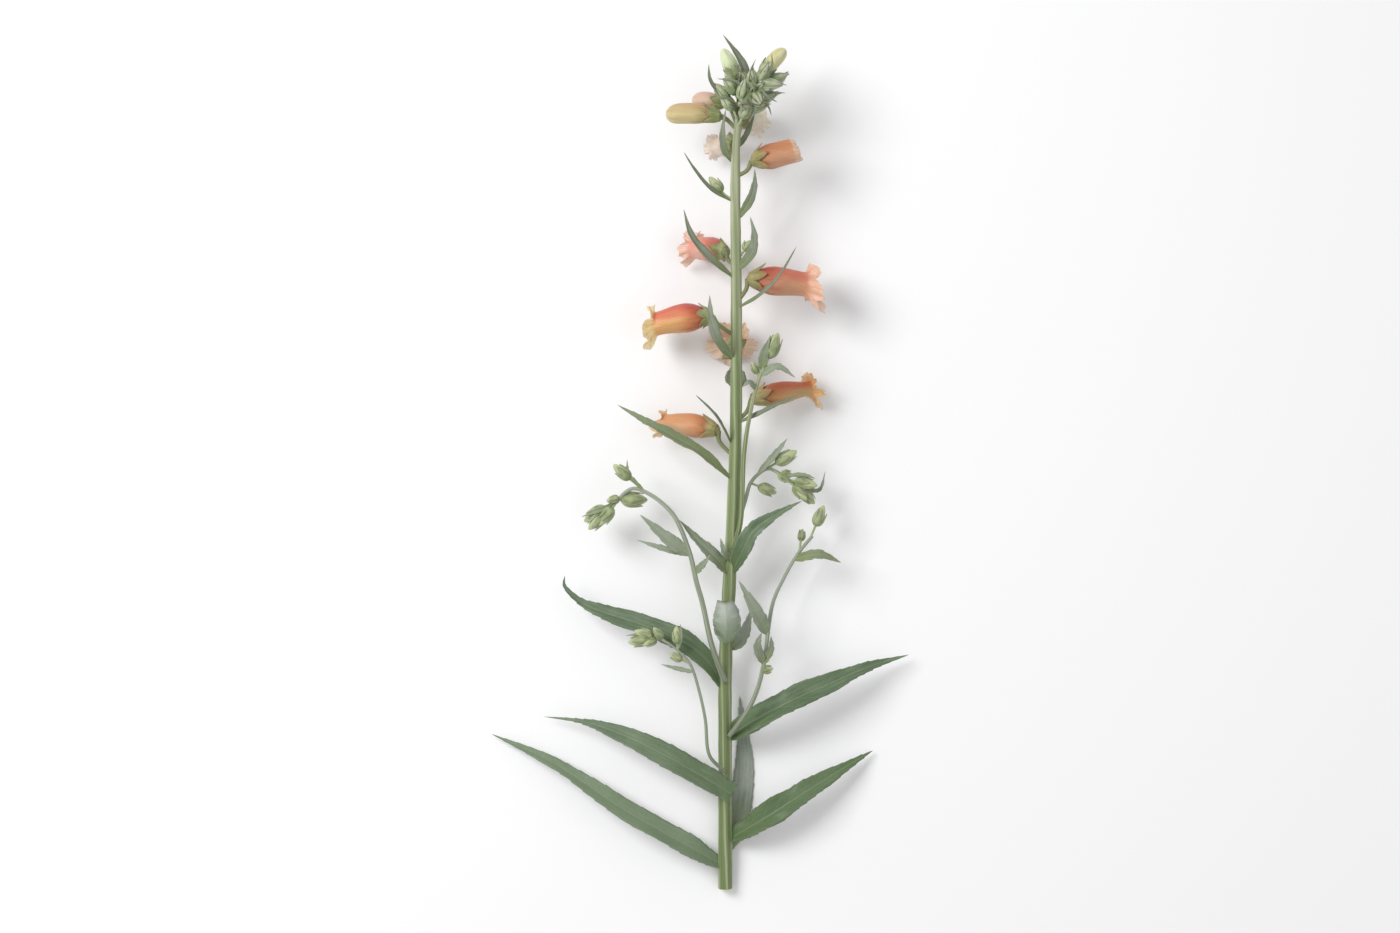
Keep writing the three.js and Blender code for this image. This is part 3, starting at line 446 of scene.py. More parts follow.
def blade(path, width, face, teeth=0, fold=0.3, thick=0.7, wave=0.12, rows=48, seed=0, tone=0.0, steps=CLOSER,
          foot=0.35, slim=0.0, blunt=0.0):
    """A leaf along its midrib, folded up along it, waved and toothed at its edges.

    A point is the midrib's own at the share t, plus a distance to the side, from edge to edge, and a height.
    Half the width at the share t is width / 2 times the larger of foot (1 - t)^2 and sin(pi t^0.65)^0.85, and
    the outer half is narrower by the share slim. A blunt leaf has sin(pi (0.08 + 0.8 t))^0.5 instead. Each
    tooth rises slowly towards the tip and then drops. Side veins leave the midrib at a sharp angle; they are
    sunk on the upper side and stand out below, as the midrib does. The height grows from the midrib by fold
    times the distance from it, and by wave times two sines along the leaf, most at the edges.
    """
    line = Path(path)
    t = up_to(1, rows + 1)
    c, below = section(steps)
    way = line.way(t[:, 0])
    normal = unit(unit(face) - (way @ unit(face))[:, None] * way)
    side = np.cross(way, normal)
    along = t * line.length

    shape = np.maximum(foot * (1 - t) ** 2, sin(pi * t**0.65) ** 0.85)
    shape = shape * (1 - slim * smooth((t - 0.5) / 0.4))
    shape = shape + blunt * (sin(pi * (0.08 + 0.8 * t)) ** 0.5 - shape)
    half = np.maximum(width / 2 * shape, 0.3 * (1 - t) ** 0.5 + 0.02)
    tooth = (t * teeth) % 1
    uneven = 0.3 + 0.12 * sin(TAU * 2.7 * t + seed) + 0.1 * sin(TAU * 7.3 * t + 2 * seed)
    uneven = uneven / np.maximum(half, 1) * smooth(t / 0.1) * smooth((1 - t) / 0.06)
    x = c * half * (1 + np.abs(c) ** 5 * (tooth**1.5 - 0.6) * uneven)
    away = np.abs(x)

    phase = np.random.default_rng(seed).uniform(0, TAU, 2)
    ripple = sin(TAU * 3.1 * t + phase[0] + np.sign(c) * 1.1)
    ripple = ripple + 0.6 * sin(TAU * 5.7 * t + phase[1] - np.sign(c))
    lift = fold * (np.sqrt(c**2 + 0.03) - 0.17) / 0.84 * half + wave * ripple * c**2 * half * smooth(t / 0.15)
    vein = hump(((along - VEIN_SLOPE * away) / VEIN_GAP + VEIN_STAGGER * np.sign(x)) % 1 - 0.5, 0.09)
    vein = vein * smooth(away / 1.2) * smooth((half - away) / 1.2)
    rib = hump(x, 0.45) * (1 - 0.7 * t) * min(1, width / 8)
    depth = rounded(c, thick)
    raised = np.where(below, -(depth + 0.35 * rib + 0.12 * vein), depth - 0.18 * rib - 0.1 * vein)
    height = lift + raised * smooth((1 - t) / 0.08 + 0.12)
    rings = line.at(t[:, 0])[:, None] + side[:, None] * x[..., None] + normal[:, None] * height[..., None]
    rings[..., 2] = np.maximum(rings[..., 2], SURFACE)
    return loft(rings, along=along, across=x, edge=np.abs(c), below=below, share=t, tone=tone)


# Stem

STEM = Path(STEM_PATH)


def stem_at(height):
    """Midpoint of the stem at a height up the plan, read off the run of its path."""
    u = np.linspace(0, 0.95, 400)
    return STEM.along(np.interp(height, STEM.along(u)[:, 1], u))


def stem_skin():
    """The stem: it thins as it rises, and more towards its tip, with low ribs that run up it.

    Its radius at the share u is SLIM (CUT_RADIUS - STEM_TAPER u - TIP_TAPER u^8), with ribs by the cosines of
    RIBS and of 11 times the angle, and a hump where each leaf or stalk leaves it. Its cut end is rounded.
    """
    roots = [leaf["path"][0][1] + 2 for leaf in LEAVES] + [flower.at for flower in [*BLOOMS, *BUDS]]
    shares = np.array(roots) / SPIKE_LENGTH * STEM_RUN

    def radius(u, angle):
        full = CUT_RADIUS - STEM_TAPER * u - TIP_TAPER * u**8
        swell = sum(hump(u - share, 0.01) for share in shares)
        ribs = 0.11 * cos(RIBS * angle + 3 * u) + 0.05 * cos(11 * angle - 2 * u)
        cut = 1 - 0.06 * hump(u, 0.0004)
        return (SLIM * full + 0.1 * swell + ribs * (1 - 0.4 * u)) * cut

    rows = np.concatenate([[0, 0.0004, 0.0012], np.linspace(0.003, 1, 420)])
    skin = tube(STEM, radius, rows, 48)
    skin.points[:, 2] = np.maximum(skin.points[:, 2], SURFACE)
    return skin


# Calyces, blooms and buds

# Least and most of the five draws for a sepal: reach, lean, turn, how far its point stands off, and a spare.
SEPAL_LEAST, SEPAL_MOST = (0.84, -0.25, -0.12, 0.5, 0), (1.12, 0.25, 0.12, 1.6, 1)


def sepals(axis, radius_at, reach, wide, loose, flare, thick=0.45, seed=0, rows=18, start=-0.6):
    """Five leafy sepals that lap over each other round a bud or a bell, broad below and drawn out to a point.

    Half the width at the share t is wide (1 - t)^0.8 (1 + 1.3 t). A sepal lies outside radius_at(s, angle),
    bulges loosely above its foot, and its point bends away by flare t^3.
    """
    c, below = section(np.linspace(-1, 1, 9))
    t = up_to(1, rows) ** 0.9
    depth = rounded(c, thick) * (1 - 0.7 * t)
    bulge = loose * hump(t - 0.3, 0.35) * (1 - 0.5 * c**2) - 0.3 * c**2 * t
    keel = 0.14 * hump(c, 0.18) * (1 - t)
    skins = []
    draws = np.random.default_rng(seed).uniform(SEPAL_LEAST, SEPAL_MOST, (LOBES, 5))
    for i, (own, lean, aside, stand, _) in enumerate(draws):
        s = start + (own * reach - start) * t
        turn = i * TAU / LOBES + aside + lean * t**2
        lap = 0.2 * c * (1 if i % 2 else -1) * (1 - t)
        r = radius_at(s, turn) + 0.5 * thick + 0.12 + lap + flare * stand * t**3 + bulge + keel
        r = np.maximum(r + np.where(below, -depth, depth), 0.05)
        half = np.minimum((wide * (1 - t) ** 0.8 * (1 + 1.3 * t) + 0.03) / np.maximum(r, 0.6), 0.85)
        skins.append(loft(axis.place(s, r, turn + c * half), share=t, across=c))
    return skins


def swelling(t, peak=0.5):
    """A bell's radius as a share of its belly: from NECK up to 1 at the share peak, by a quarter of a sine."""
    return NECK + (1 - NECK) * sin(np.clip(t / peak, 0, 1) * pi / 2)


def bell_radius(b, s, angle):
    """Radius of an open bell: it swells to the belly, and draws in with an eased step to the throat.

    It is fuller below than above, by BELLY_SAG cos(angle) sin(pi t).
    """
    t = np.clip(s / b.length, 0, 1)
    narrow = 1 - (1 - b.throat) * smooth((t - BELLY_AT) / (1 - BELLY_AT))
    return b.belly * swelling(t, BELLY_AT) * narrow * (1 - BELLY_SAG * cos(angle) * sin(pi * t))


def bud_radius(b, s, angle=0):
    """Radius of a closed bud: the same swelling, rounded off from its shoulder to its end.

    There it is times the root of 1 - x^(1.2 + 2 shoulder), as x goes from 0 at the shoulder to 1 at the end.
    """
    t = np.clip(s / b.length, 0, 1)
    end = np.maximum(0, (t - b.shoulder) / (1 - b.shoulder))
    return b.belly * swelling(t) * np.sqrt(np.maximum(0, 1 - end ** (1.2 + 2 * b.shoulder)))


def stalk(b, axis, radius_at, flare, seed):
    """The stalk, the cup at its end and five sepals. The mark stalk is 1 on the first and 0.5 on the cup.

    The stalk's radius is PEDICEL + 0.35 u^4, with five low ribs. The cup opens from a point behind the foot to
    0.6 outside radius_at(s).
    """
    def radius(u, angle):
        return PEDICEL + 0.35 * u**4 + 0.05 * cos(5 * angle)

    line = Path([stem_at(b.at), b.via, axis.place(-1, 0, 0)])
    stem = tube(line, radius, np.linspace(0, 1, 19), 12, stalk=1.0)
    s = np.array([-1.6, -1.45, -0.9, -0.2, 0.6, 1.3, 1.6])[:, None]
    rise = np.array([0.0, 0.4, 0.8, 1, 1, 1, 1])[:, None]
    r = rise * (radius_at(np.maximum(s, 0), 0) + 0.6) + 0.02
    cup = loft(axis.place(s, r, around(24)), stalk=0.5)
    leaves = sepals(axis, radius_at, b.reach * b.length, wide=2.5, loose=0.6, flare=flare, seed=seed)
    return [stem, cup, *leaves]


def bell(b, axis, seed):
    """The bell of joined petals: a tube with five low flutes, then five lobes that turn back from its mouth.

    A lobe's length is gape (7 - 1.8 cos angle), at its side edges less by the share cleft of what is over 1.
    One side of a lobe is twisted forward and the other back, and the lobes above and below are rolled about
    their midline, by the slope roll. Its lean from the axis grows with its share to the power 0.6, up to
    spread (1.25 + 0.4 cos angle). Its width fans out with the distance from the axis to the power fan. Its
    side edges roll back, and frills push it in and out more and more towards its rim.
    """
    phase = np.random.default_rng(seed).uniform(0, TAU, 8)
    angle = around(160)
    sector = TAU / LOBES
    middle = (np.floor(angle / sector) + 0.5) * sector
    aside = angle - middle
    across = aside / (sector / 2)
    steps, lobes = up_to(1, 28), up_to(1, 19)[1:]

    outline = np.maximum(0, 1 - np.abs(across) ** 2.2) ** 0.6
    full = b.gape * (7 - 1.8 * cos(middle)) * (1 + 0.13 * sin(2 * middle + phase[4]))
    ragged = 1 + b.frill * (0.05 * sin(13 * angle + phase[0]) + 0.03 * sin(31 * angle + phase[1]))
    length = 1 + (full * ragged - 1) * (1 - b.cleft * (1 - outline))
    twist = b.twist * (0.75 + 0.4 * sin(2 * middle + phase[5])) * across * outline * smooth(lobes)
    turn = b.spread * (1.25 + 0.4 * cos(middle)) * (1 + 0.16 * sin(3 * middle + phase[2]))
    lean = 0.08 + turn * lobes**0.6
    halfway = 0.08 + turn * (lobes - 0.5 / len(lobes)) ** 0.6
    flutes = 0.025 * cos(LOBES * angle + pi)
    throat = bell_radius(b, b.length, angle) * (1 + flutes)
    r_mid = throat + np.cumsum(sin(halfway), 0) * length / len(lobes)
    s_mid = b.length + np.cumsum(cos(halfway), 0) * length / len(lobes) + twist
    waves = 0.5 * sin(9 * angle + phase[3]) + 0.3 * sin(16 * angle + phase[6])
    waves = waves + 0.16 * sin(27 * angle + phase[7])
    roll = b.roll * cos(middle) ** 2 * aside * throat * outline * smooth(lobes * 1.5)
    frill = b.frill * lobes**2 * waves - 0.9 * b.cleft * across**2 * lobes * np.sign(b.spread) + roll
    spots = middle + aside * (throat / np.maximum(r_mid, throat)) ** (1 - b.fan)
    sheets = []
    for depth in (0, 0.3):  # the outside, then the inside
        fold = depth * (1 - 0.65 * lobes) + frill
        r_tube = bell_radius(b, steps * b.length, angle) * (1 + flutes * smooth(steps * 2)) - depth
        s_tube = steps * b.length + depth * (1 - smooth(steps * 8)) + 0 * angle
        r = np.vstack([np.maximum(r_tube, 0.05), np.maximum(r_mid - fold * cos(lean), 0.1)])
        s = np.vstack([s_tube, s_mid + fold * sin(lean)])
        sheets.append(axis.place(s, r, np.vstack([angle + 0 * steps, spots])))
    outer, inner = sheets
    marks = np.vstack([steps, 1 + lobes])
    rim = np.vstack([0 * steps + 0 * angle, lobes * length / length.max()])
    return loft(np.vstack([outer, inner[::-1]]), along=np.vstack([marks, marks[::-1]]),
                edge=np.vstack([rim, rim[::-1]]), top=cos(angle), side=sin(angle))


def closed_bell(b, axis):
    """A closed bud of petals, with creases that meet at its end.

    Its radius is bud_radius times 1 less 0.18 of |cos(2.5 angle)|^6, eased in past its middle, and 0.02 of
    cos(5 angle). Its rings stand closer together towards the end.
    """
    angle = around(60)
    t = np.vstack([up_to(0.8, 18), 0.8 + 0.2 * sin(up_to(pi / 2, 14))[1:]])
    crease = 1 - 0.18 * smooth((t - 0.55) / 0.4) * np.abs(cos(2.5 * angle)) ** 6 - 0.02 * cos(5 * angle)
    r = np.maximum(bud_radius(b, t * b.length) * crease, 0.03)
    return loft(axis.place(t * b.length, r, angle), along=t, edge=0.0, top=cos(angle), side=sin(angle))


def stamens(b, axis):
    """Ovary, style and stamens along the upper side of the bell, each stamen ending in a two-lobed anther.

    The pistil's radius eases from 0.9 at the ovary to 0.3 at the style. An anther's is 0.85 times the root of
    sin(pi t), times 1 - 0.25 cos(2 angle).
    """
    def under(share, angle, depth):
        s = share * b.length
        return axis.place(s, bell_radius(b, s, angle) - depth, angle)

    def ovary(u, angle):
        return 0.3 + 0.6 * (1 - smooth((u - 0.15) / 0.2))

    pistil = Path([axis.place(0.95, 0, 0), axis.place(0.3 * b.length, 0.1, 0), under(0.86, 0, 2)])
    skins = [tube(pistil, ovary, np.linspace(0, 1, 41), 10)]
    t, angle = up_to(1, 10), around(16)
    anther = 0.85 * np.sqrt(np.maximum(0.002, sin(pi * t))) * (1 - 0.25 * cos(2 * angle))
    for side in [-0.5, 0.5] if b.length < 16 else [-0.9, -0.45, 0.45, 0.9]:
        reach = 0.9 - 0.3 * abs(side)
        line = Path([axis.place(1.85, 0.2, side), under(0.4, side, 2.4), under(reach, side, 2)])
        skins.append(tube(line, lambda u, angle: 0.28, np.linspace(0, 1, 25), 8))
        skins.append(loft(Axis(line.at(0.93), line.way(1.0)).place(1.9 * t - 0.2, anther, angle), ripe=1.0))
    return skins


def green_bud(points, length, belly, seed, wrapped=0.62):
    """A small bud on its stalk: a long egg of young petals that stands in five pointed sepals.

    Its radius at the share t is belly sin(pi t^0.9)^0.6, with a foot half a millimetre wide. The sepals reach
    up it by the share wrapped.
    """
    line = Path(points)
    foot = max(0.1, 1 - length / line.length)
    neck = line.by_length(foot)
    size = (1 - foot) * line.length
    axis = Axis(line.at(neck), line.at(1.0) - line.at(neck), up=(0.2, 0.1, 1))

    def egg(s):
        t = np.clip(s / size, 0, 0.999)
        return 0.5 * (1 - t) ** 2 + belly * sin(pi * t**0.9) ** 0.6

    def radius(u, angle):
        return 0.5 + 0.12 * smooth((u - foot + 0.1) / 0.1)

    stem = tube(line, radius, np.linspace(0, foot + 0.04, 9), 8)
    t, angle = (1 - cos(up_to(pi, 18))) / 2, around(20)
    crease = 1 - 0.04 * cos(5 * angle) - 0.1 * smooth((t - 0.6) / 0.4) * np.abs(cos(2.5 * angle)) ** 5
    r = np.maximum(egg(t * size) * 0.9 * crease, 0.03)
    core = loft(axis.place(t * size, r, angle), share=t, young=1.0)
    leaves = sepals(axis, lambda s, angle: 0.86 * egg(s), wrapped * size, wide=0.62 * belly,
                    loose=0.12 * belly, flare=0.25 * belly, thick=0.3, seed=seed, rows=11, start=-0.2)
    return [stem, core, *leaves]


# Finishes


def colour(code):
    """A linear colour from a hexadecimal one."""
    value = np.array([int(code[i:i + 2], 16) / 255 for i in (1, 3, 5)])
    linear = np.where(value <= 0.04045, value / 12.92, ((value + 0.055) / 1.055) ** 2.4)
    return (*linear, 1)


def reckoned(operation):
    """What a sum of values makes: a node that works it out."""
    return lambda *values: values[0].finish.math(operation, *values)


class Value:
    """A number or colour at every point of a surface, from a node of a finish, for plain sums."""

    def __init__(self, finish, socket):
        self.finish, self.socket = finish, socket

    __add__, __sub__, __mul__ = reckoned("ADD"), reckoned("SUBTRACT"), reckoned("MULTIPLY")
    __truediv__, __abs__ = reckoned("DIVIDE"), reckoned("ABSOLUTE")


class Finish:
    """A material whose colour, roughness and bump are built from small steps."""

    def __init__(self, name, roughness, sheen=0.0, scatter=0.0, radius=(0.4, 0.6, 0.15)):
        self.material = bpy.data.materials.new(name)
        self.material.use_nodes = True
        self.tree = self.material.node_tree
        self.shader = self.tree.nodes["Principled BSDF"]
        self.set("Roughness", roughness)
        self.set("Specular IOR Level", 0.35)
        if sheen:
            self.set("Sheen Weight", sheen)
            self.set("Sheen Roughness", 0.4)
        if scatter:
            self.set("Subsurface Weight", scatter)
            self.set("Subsurface Radius", radius)
            self.set("Subsurface Scale", 0.002)
        self.place = self.add("TexCoord", {}, "Object")

    def put(self, socket, value):
        """A number, a colour or its code for a socket, or a link to it."""
        if isinstance(value, Value):
            self.tree.links.new(value.socket, socket)
        else:
            socket.default_value = colour(value) if isinstance(value, str) else value

    def set(self, name, value):
        self.put(self.shader.inputs[name], value)

    def add(self, kind, inputs, output=0, **settings):
        node = self.tree.nodes.new(f"ShaderNode{kind}")
        for name, value in settings.items():
            setattr(node, name, value)
        for key, value in inputs.items():
            self.put(node.inputs[key], value)
        return Value(self, node.outputs[output])

    def mark(self, name):
        return self.add("Attribute", {}, "Fac", attribute_name=name)

    def math(self, operation, *values):
        return self.add("Math", dict(enumerate(values)), operation=operation)

    def step(self, value, low, high, to_low=0.0, to_high=1.0):
        """An eased step: to_low below low, to_high above high."""
        inputs = dict(enumerate((value, low, high, to_low, to_high)))
        return self.add("MapRange", inputs, interpolation_type="SMOOTHSTEP")

    def mix(self, share, first, second, blend="MIX"):
        return self.add("Mix", {0: share, 6: first, 7: second}, 2, data_type="RGBA", blend_type=blend)

    def coats(self, base, *coats):
        """Colours laid over a base one after the other, each by its share."""
        for share, coat in coats:
            base = self.mix(share, base, coat)
        return base

    def noise(self, scale, detail, stretch=None):
        place = self.add("Mapping", {"Vector": self.place, "Scale": stretch}) if stretch else self.place
        return self.add("TexNoise", {"Vector": place, "Scale": scale, "Detail": detail})

    def grain(self, across_scale, along_scale, *marks):
        """Noise in the skin's own marks: fine across the run of the piece and drawn out along it."""
        scales = [across_scale] * (len(marks) - 1) + [along_scale]
        place = self.add("CombineXYZ", dict(enumerate(mark * scale for mark, scale in zip(marks, scales))))
        return self.add("TexNoise", {"Vector": place, "Scale": 1.0, "Detail": 4})

    def bump(self, height, distance, strength):
        self.set("Normal", self.add("Bump", {"Strength": strength, "Distance": distance, "Height": height}))

    def gloss(self, scale, low, high):
        """Roughness that wanders between two values."""
        self.set("Roughness", self.step(self.noise(scale, 3), 0.3, 0.7, low, high))

    def turns(self, count):
        """Grows by count from once round a bell or stem, from its two marks."""
        return self.math("ARCTAN2", self.mark("side"), self.mark("top")) * (count / TAU)

    def lines(self, value, width):
        """Thin lines wherever the value passes a whole number: 1 on the line, 0 away from it."""
        return self.step(abs(self.math("FRACT", value) - 0.5), 0.5 - width, 0.5)


def leaf_finish(name, colours, roughness=0.5, sheen=0.15, reach=0.5):
    """Leaf green: the upper side drifts between two greens in long streaks, from another one at the foot.

    That one runs out at the share reach, and the tone of a leaf draws it to one or the other, partly by
    the leaf's own green and partly as painted light and shade for how the lamps light it. The midrib is
    paler, the back and the rim are grey, and the back is darker towards its edges as a painted shade. The
    colours are foot, upper side, fresh green, back and veins.
    """
    f = Finish(name, roughness, sheen, scatter=0.1)
    foot, upper, fresh, under, vein = colours.split()
    across, along, share, tone, edge = (f.mark(mark) for mark in ("across", "along", "share", "tone", "edge"))
    away = abs(across)
    midrib = f.step(away, 0.08, 0.4, 1, 0)
    side = (along - away * VEIN_SLOPE) / VEIN_GAP + f.math("SIGN", across) * VEIN_STAGGER
    side = f.lines(side + 0.5, 0.05)
    small = f.lines((along + away * 0.8) / 1.3, 0.2)
    drift = f.noise(45, 4) * 0.6 + f.grain(0.9, 0.06, across, along) * 0.4
    near = f.step(share + (drift - 0.5) * 0.6, 0.02, reach, 0.85, 0)
    green = f.coats(
        upper,
        (f.step(drift, 0.38, 0.64), fresh),
        (near, foot),
        # the tone: partly each leaf's own green, partly painted light and shade for how the lamps light it
        (f.step(tone, -1, 0, 0.7, 0), foot),
        (f.step(tone, 0, 1, 0, 0.8), fresh),
        (side * 0.14, vein),
        (small * 0.05, vein),
        (midrib * 0.26, vein),
        (f.step(edge + f.noise(90, 2) * 0.12, 0.93, 1.05, 0, 0.5), under),
    )
    back = f.coats(
        under,
        (f.math("MAXIMUM", midrib, side) * 0.3, vein),
        (f.step(f.noise(160, 3), 0.4, 0.7, 0, 0.3), fresh),
        # painted shade: the back is darker towards its edges
        (f.step(edge, 0.3, 1, 0, 0.6), upper),
        (near, foot),
    )
    dry = f.step(share, 0.93, 1) * 0.6
    whole = f.coats(green, (f.mark("below"), back), (dry, "#6e6a62"))
    speckle = f.step(f.noise(900, 2), 0.3, 0.75, -0.04, 0.04) + 1
    f.set("Base Color", f.mix(1, whole, speckle, "MULTIPLY"))
    f.gloss(300, roughness - 0.08, roughness + 0.1)
    f.bump(f.noise(700, 4) - side * 0.5, 0.00025, 0.35)
    return f


def stem_finish(name, colours):
    """Stem green, paler towards the tip, with ribs and fine lines up it painted pale as a highlight, and
    painted shade in the grooves.

    The colours are those of the lower, middle and top part, of the painted highlight on the ribs, and of
    the painted shade in the grooves.
    """
    f = Finish(name, 0.48, sheen=0.25, scatter=0.08)
    low, middle, top, rib, painted_groove_shade = colours.split()
    along = f.mark("along")
    drift = (f.noise(25, 2) - 0.5) * 0.6
    turns = f.turns(RIBS) + along * (3 * RIBS / TAU)
    fine = f.lines(f.turns(24) + f.noise(60, 2) * 1.5, 0.3)
    cut = f.step(along, 0.0002, 0.0008, 1, 0)
    f.set("Base Color", f.coats(
        low,
        (f.step(along, 0.05, 0.5), middle),
        (f.step(along, 0.55, 0.92), top),
        # Painted shade in the grooves, then a painted highlight on the ribs and on the fine lines.
        (f.lines(turns + 0.5 + drift, 0.3) * 0.45, painted_groove_shade),
        (f.lines(turns + drift, 0.2) * 0.5, rib),
        (fine * 0.2, rib),
        (f.step(f.noise(140, 4, (1, 0.2, 1)), 0.42, 0.72) * 0.35, low),
        (cut, "#c3cb98"),
    ))
    f.gloss(400, 0.38, 0.6)
    f.bump(fine * 0.5 + f.noise(900, 3, (1, 0.3, 1)), 0.0002, 0.4)
    return f


def sepal_finish(name, colours):
    """Calyx green with fine lines along each sepal, flushed at the tips, with young petals inside.

    The colours are green, pale green, the flush and the young petals. Stalks are darker.
    """
    f = Finish(name, 0.55, sheen=0.3, scatter=0.1)
    green, pale, flush, young = colours.split()
    share, across = f.mark("share"), f.mark("across")
    lines = f.lines(across * 3, 0.22)
    f.set("Base Color", f.coats(
        green,
        (f.step(f.noise(260, 4), 0.38, 0.66), pale),
        (lines * 0.35, pale),
        (f.step(abs(across), 0, 0.22, 0.5, 0), pale),
        (f.step(abs(across), 0.7, 1) * 0.3, flush),
        (f.step(share, 0.3, 1) * f.step(f.noise(180, 3), 0.3, 0.65, 0.3, 0.9), flush),
        (f.mark("young"), f.mix(f.step(f.noise(220, 3), 0.35, 0.7, 0, 0.5), young, pale)),
        (f.mark("stalk") * 0.8, "#6a744f"),
    ))
    f.bump(lines * 0.5 + f.noise(900, 3), 0.0002, 0.45)
    return f


def petal_finish(name, colours):
    """Petal colour from the foot by the body to the lip, deeper along the crown and lighter below, partly
    the petals' own paler tone and partly painted light against the shade that falls there.

    The colours run into each other in streaks along the bell, and fine veins follow it out into the lobes.
    """
    f = Finish(name, 0.4, sheen=0.15, scatter=0.45, radius=(0.9, 0.5, 0.3))
    foot, body, lip, lower, crown = colours.split()
    along, top, side = f.mark("along"), f.mark("top"), f.mark("side")
    streak = f.grain(3.2, 1.1, top, side, along) - 0.5
    place = along + (streak * 0.8 + (f.noise(150, 3) - 0.5) * 0.4)
    height = top + streak * 1.3
    wander = f.noise(150, 2) * 1.6
    veins = f.lines(f.turns(40) + wander, 0.22)
    f.set("Base Color", f.coats(
        foot,
        (f.step(place, 0.15, 0.62), body),
        # The lower side is lighter: partly the petals' own paler tone, partly painted light against the shade
        # there.
        (f.step(height, -0.45, 0.6, 1, 0) * f.step(place, 0.05, 0.7, 0.15, 0.95), lower),
        (f.step(height, 0.35, 1.05) * f.step(place, 0.5, 1.1, 0.75, 0), crown),
        (f.step(place, 0.85, 1.4), lip),
        (veins * 0.16, foot),
        (f.lines(f.turns(15) + wander, 0.3) * f.step(along, 0.7, 1.5, 0.16, 0.3), body),
        (f.step(f.mark("edge"), 0.55, 1, 0, 0.45), "#f3dccb"),
    ))
    f.gloss(300, 0.34, 0.52)
    f.bump(veins * 0.6 + f.noise(500, 3), 0.0003, 0.4)
    return f


def stamen_finish():
    """Cream threads with ochre anthers."""
    f = Finish("stamens", 0.55, scatter=0.2, radius=(0.6, 0.5, 0.3))
    grain = f.step(f.noise(1500, 3), 0.35, 0.7)
    f.set("Base Color", f.mix(f.mark("ripe"), "#ecdcb4", f.mix(grain, "#d0a850", "#a87a32")))
    f.bump(grain, 0.0001, 0.4)
    return f


leaf_green = leaf_finish("leaf", "#50673c #55684e #74856a #9a9c92 #93a084")
leaf_silver = leaf_finish("silver_leaf", "#7f8c62 #868f84 #a3aaa2 #a0a49c #a9afa2", 0.6, 0.4)
leaf_back = leaf_finish("leaf_back", "#728f58 #7f877c #a9b0a5 #b4bab0 #b0b6ab", 0.6, 0.4, 0.95)
leaf_pale = leaf_finish("pale_leaf", "#76844f #717c66 #8f9885 #92998b #a4ab98", 0.55, 0.25)
bract_green = leaf_finish("bract", "#6e7d4a #626c55 #838a78 #92968b #9fa590", 0.55, 0.2)
# A stem's last two colours are a painted highlight on its ribs and painted shade in its grooves.
stem_green = stem_finish("stem", "#6a7b4a #788858 #a2a787 #bfc5a6 #5c6240")
shoot_green = stem_finish("shoot", "#7f896e #8c937f #969b8b #b4b9aa #72786a")
calyx_green = sepal_finish("calyx", "#73804a #a0a274 #8f7a50 #a9a468")
calyx_flushed = sepal_finish("flushed_calyx", "#80804c #ab9a6c #a06a48 #a9a468")
bud_green = sepal_finish("green_bud", "#788857 #a5af84 #9b9f84 #b0ba8d")
tip_green = sepal_finish("tip_bud", "#6f8050 #aeb896 #b2b49a #bbc69c")
stamen_cream = stamen_finish()

# Leaves that look other than plain green: finish and slot.
LEAF_LOOKS = {
    "leaf_3": (leaf_silver, "silver_leaf"), "leaf_7": (leaf_back, "silver_leaf"),
    "leaf_8": (leaf_pale, "leaf"), "leaf_10": (leaf_pale, "pale_leaf"),
    "leaf_11": (leaf_silver, "silver_leaf"), "leaf_12": (leaf_pale, "pale_leaf"),
}
# Blooms and coloured buds: slot, finish of the calyx, petal colours of foot, body, lip, lower side and crown.
# The lower side is lighter, partly the petals' own paler tone and partly painted light against the shade
# there.
FLOWER_LOOKS = {
    "bloom_1": ("peach_petal", calyx_flushed, "#b9713f #cd8d60 #dcb690 #d2a47e #bf7c54"),
    "bloom_2": ("orange_petal", calyx_flushed, "#a06638 #c0684a #d9ab7c #b89b68 #b3543e"),
    "bloom_3": ("pale_petal", calyx_green, "#bd7f62 #d7a284 #e8c9b2 #e2c0a4 #cc9076"),
    "bloom_4": ("yellow_petal", calyx_green, "#b05038 #cf6c50 #f2dcac #dcaa6e #b8585a"),
    "bloom_5": ("salmon_petal", calyx_flushed, "#9c4c34 #cc7862 #e2b09c #cf9a78 #b65048"),
    "bloom_6": ("pink_petal", calyx_green, "#bc6048 #d88b7a #ecc2b6 #dea392 #cc7468"),
    "bloom_7": ("peach_petal", calyx_flushed, "#8f5a38 #c0825c #dfb69e #cb9878 #b06a48"),
    "bloom_8": ("cream_petal", calyx_green, "#b99478 #d6bdac #e2d2ca #d8c6ba #cbaba0"),
    "bloom_9": ("cream_petal", calyx_green, "#b5a682 #d4cab2 #e4dace #dad0bc #c8ba9c"),
    "bud_1": ("yellow_bud", calyx_green, "#8f8658 #bfa97c #ceb294 #c9ba88 #c09878"),
    "bud_2": ("pink_bud", calyx_green, "#a98a72 #ccae9c #d8c4b4 #ccb69e #c09c8c"),
    "bud_3": ("green_bud", bud_green, "#8d9b5c #c8c596 #d8cfa4 #cfcd9e #c4ba88"),
    "bud_4": ("green_bud", bud_green, "#a3b582 #cbd6ae #dae1c0 #d2dab8 #c2cba2"),
}

# Building the spike


def stem_buds(rows, seed, **how):
    """Green buds on the stem, from rows of a table."""
    buds = []
    for i, (root, via, tip, length, belly) in enumerate(rows):
        buds += green_bud([stem_at(root), via, tip], length, belly, seed=seed + i, **how)
    return buds


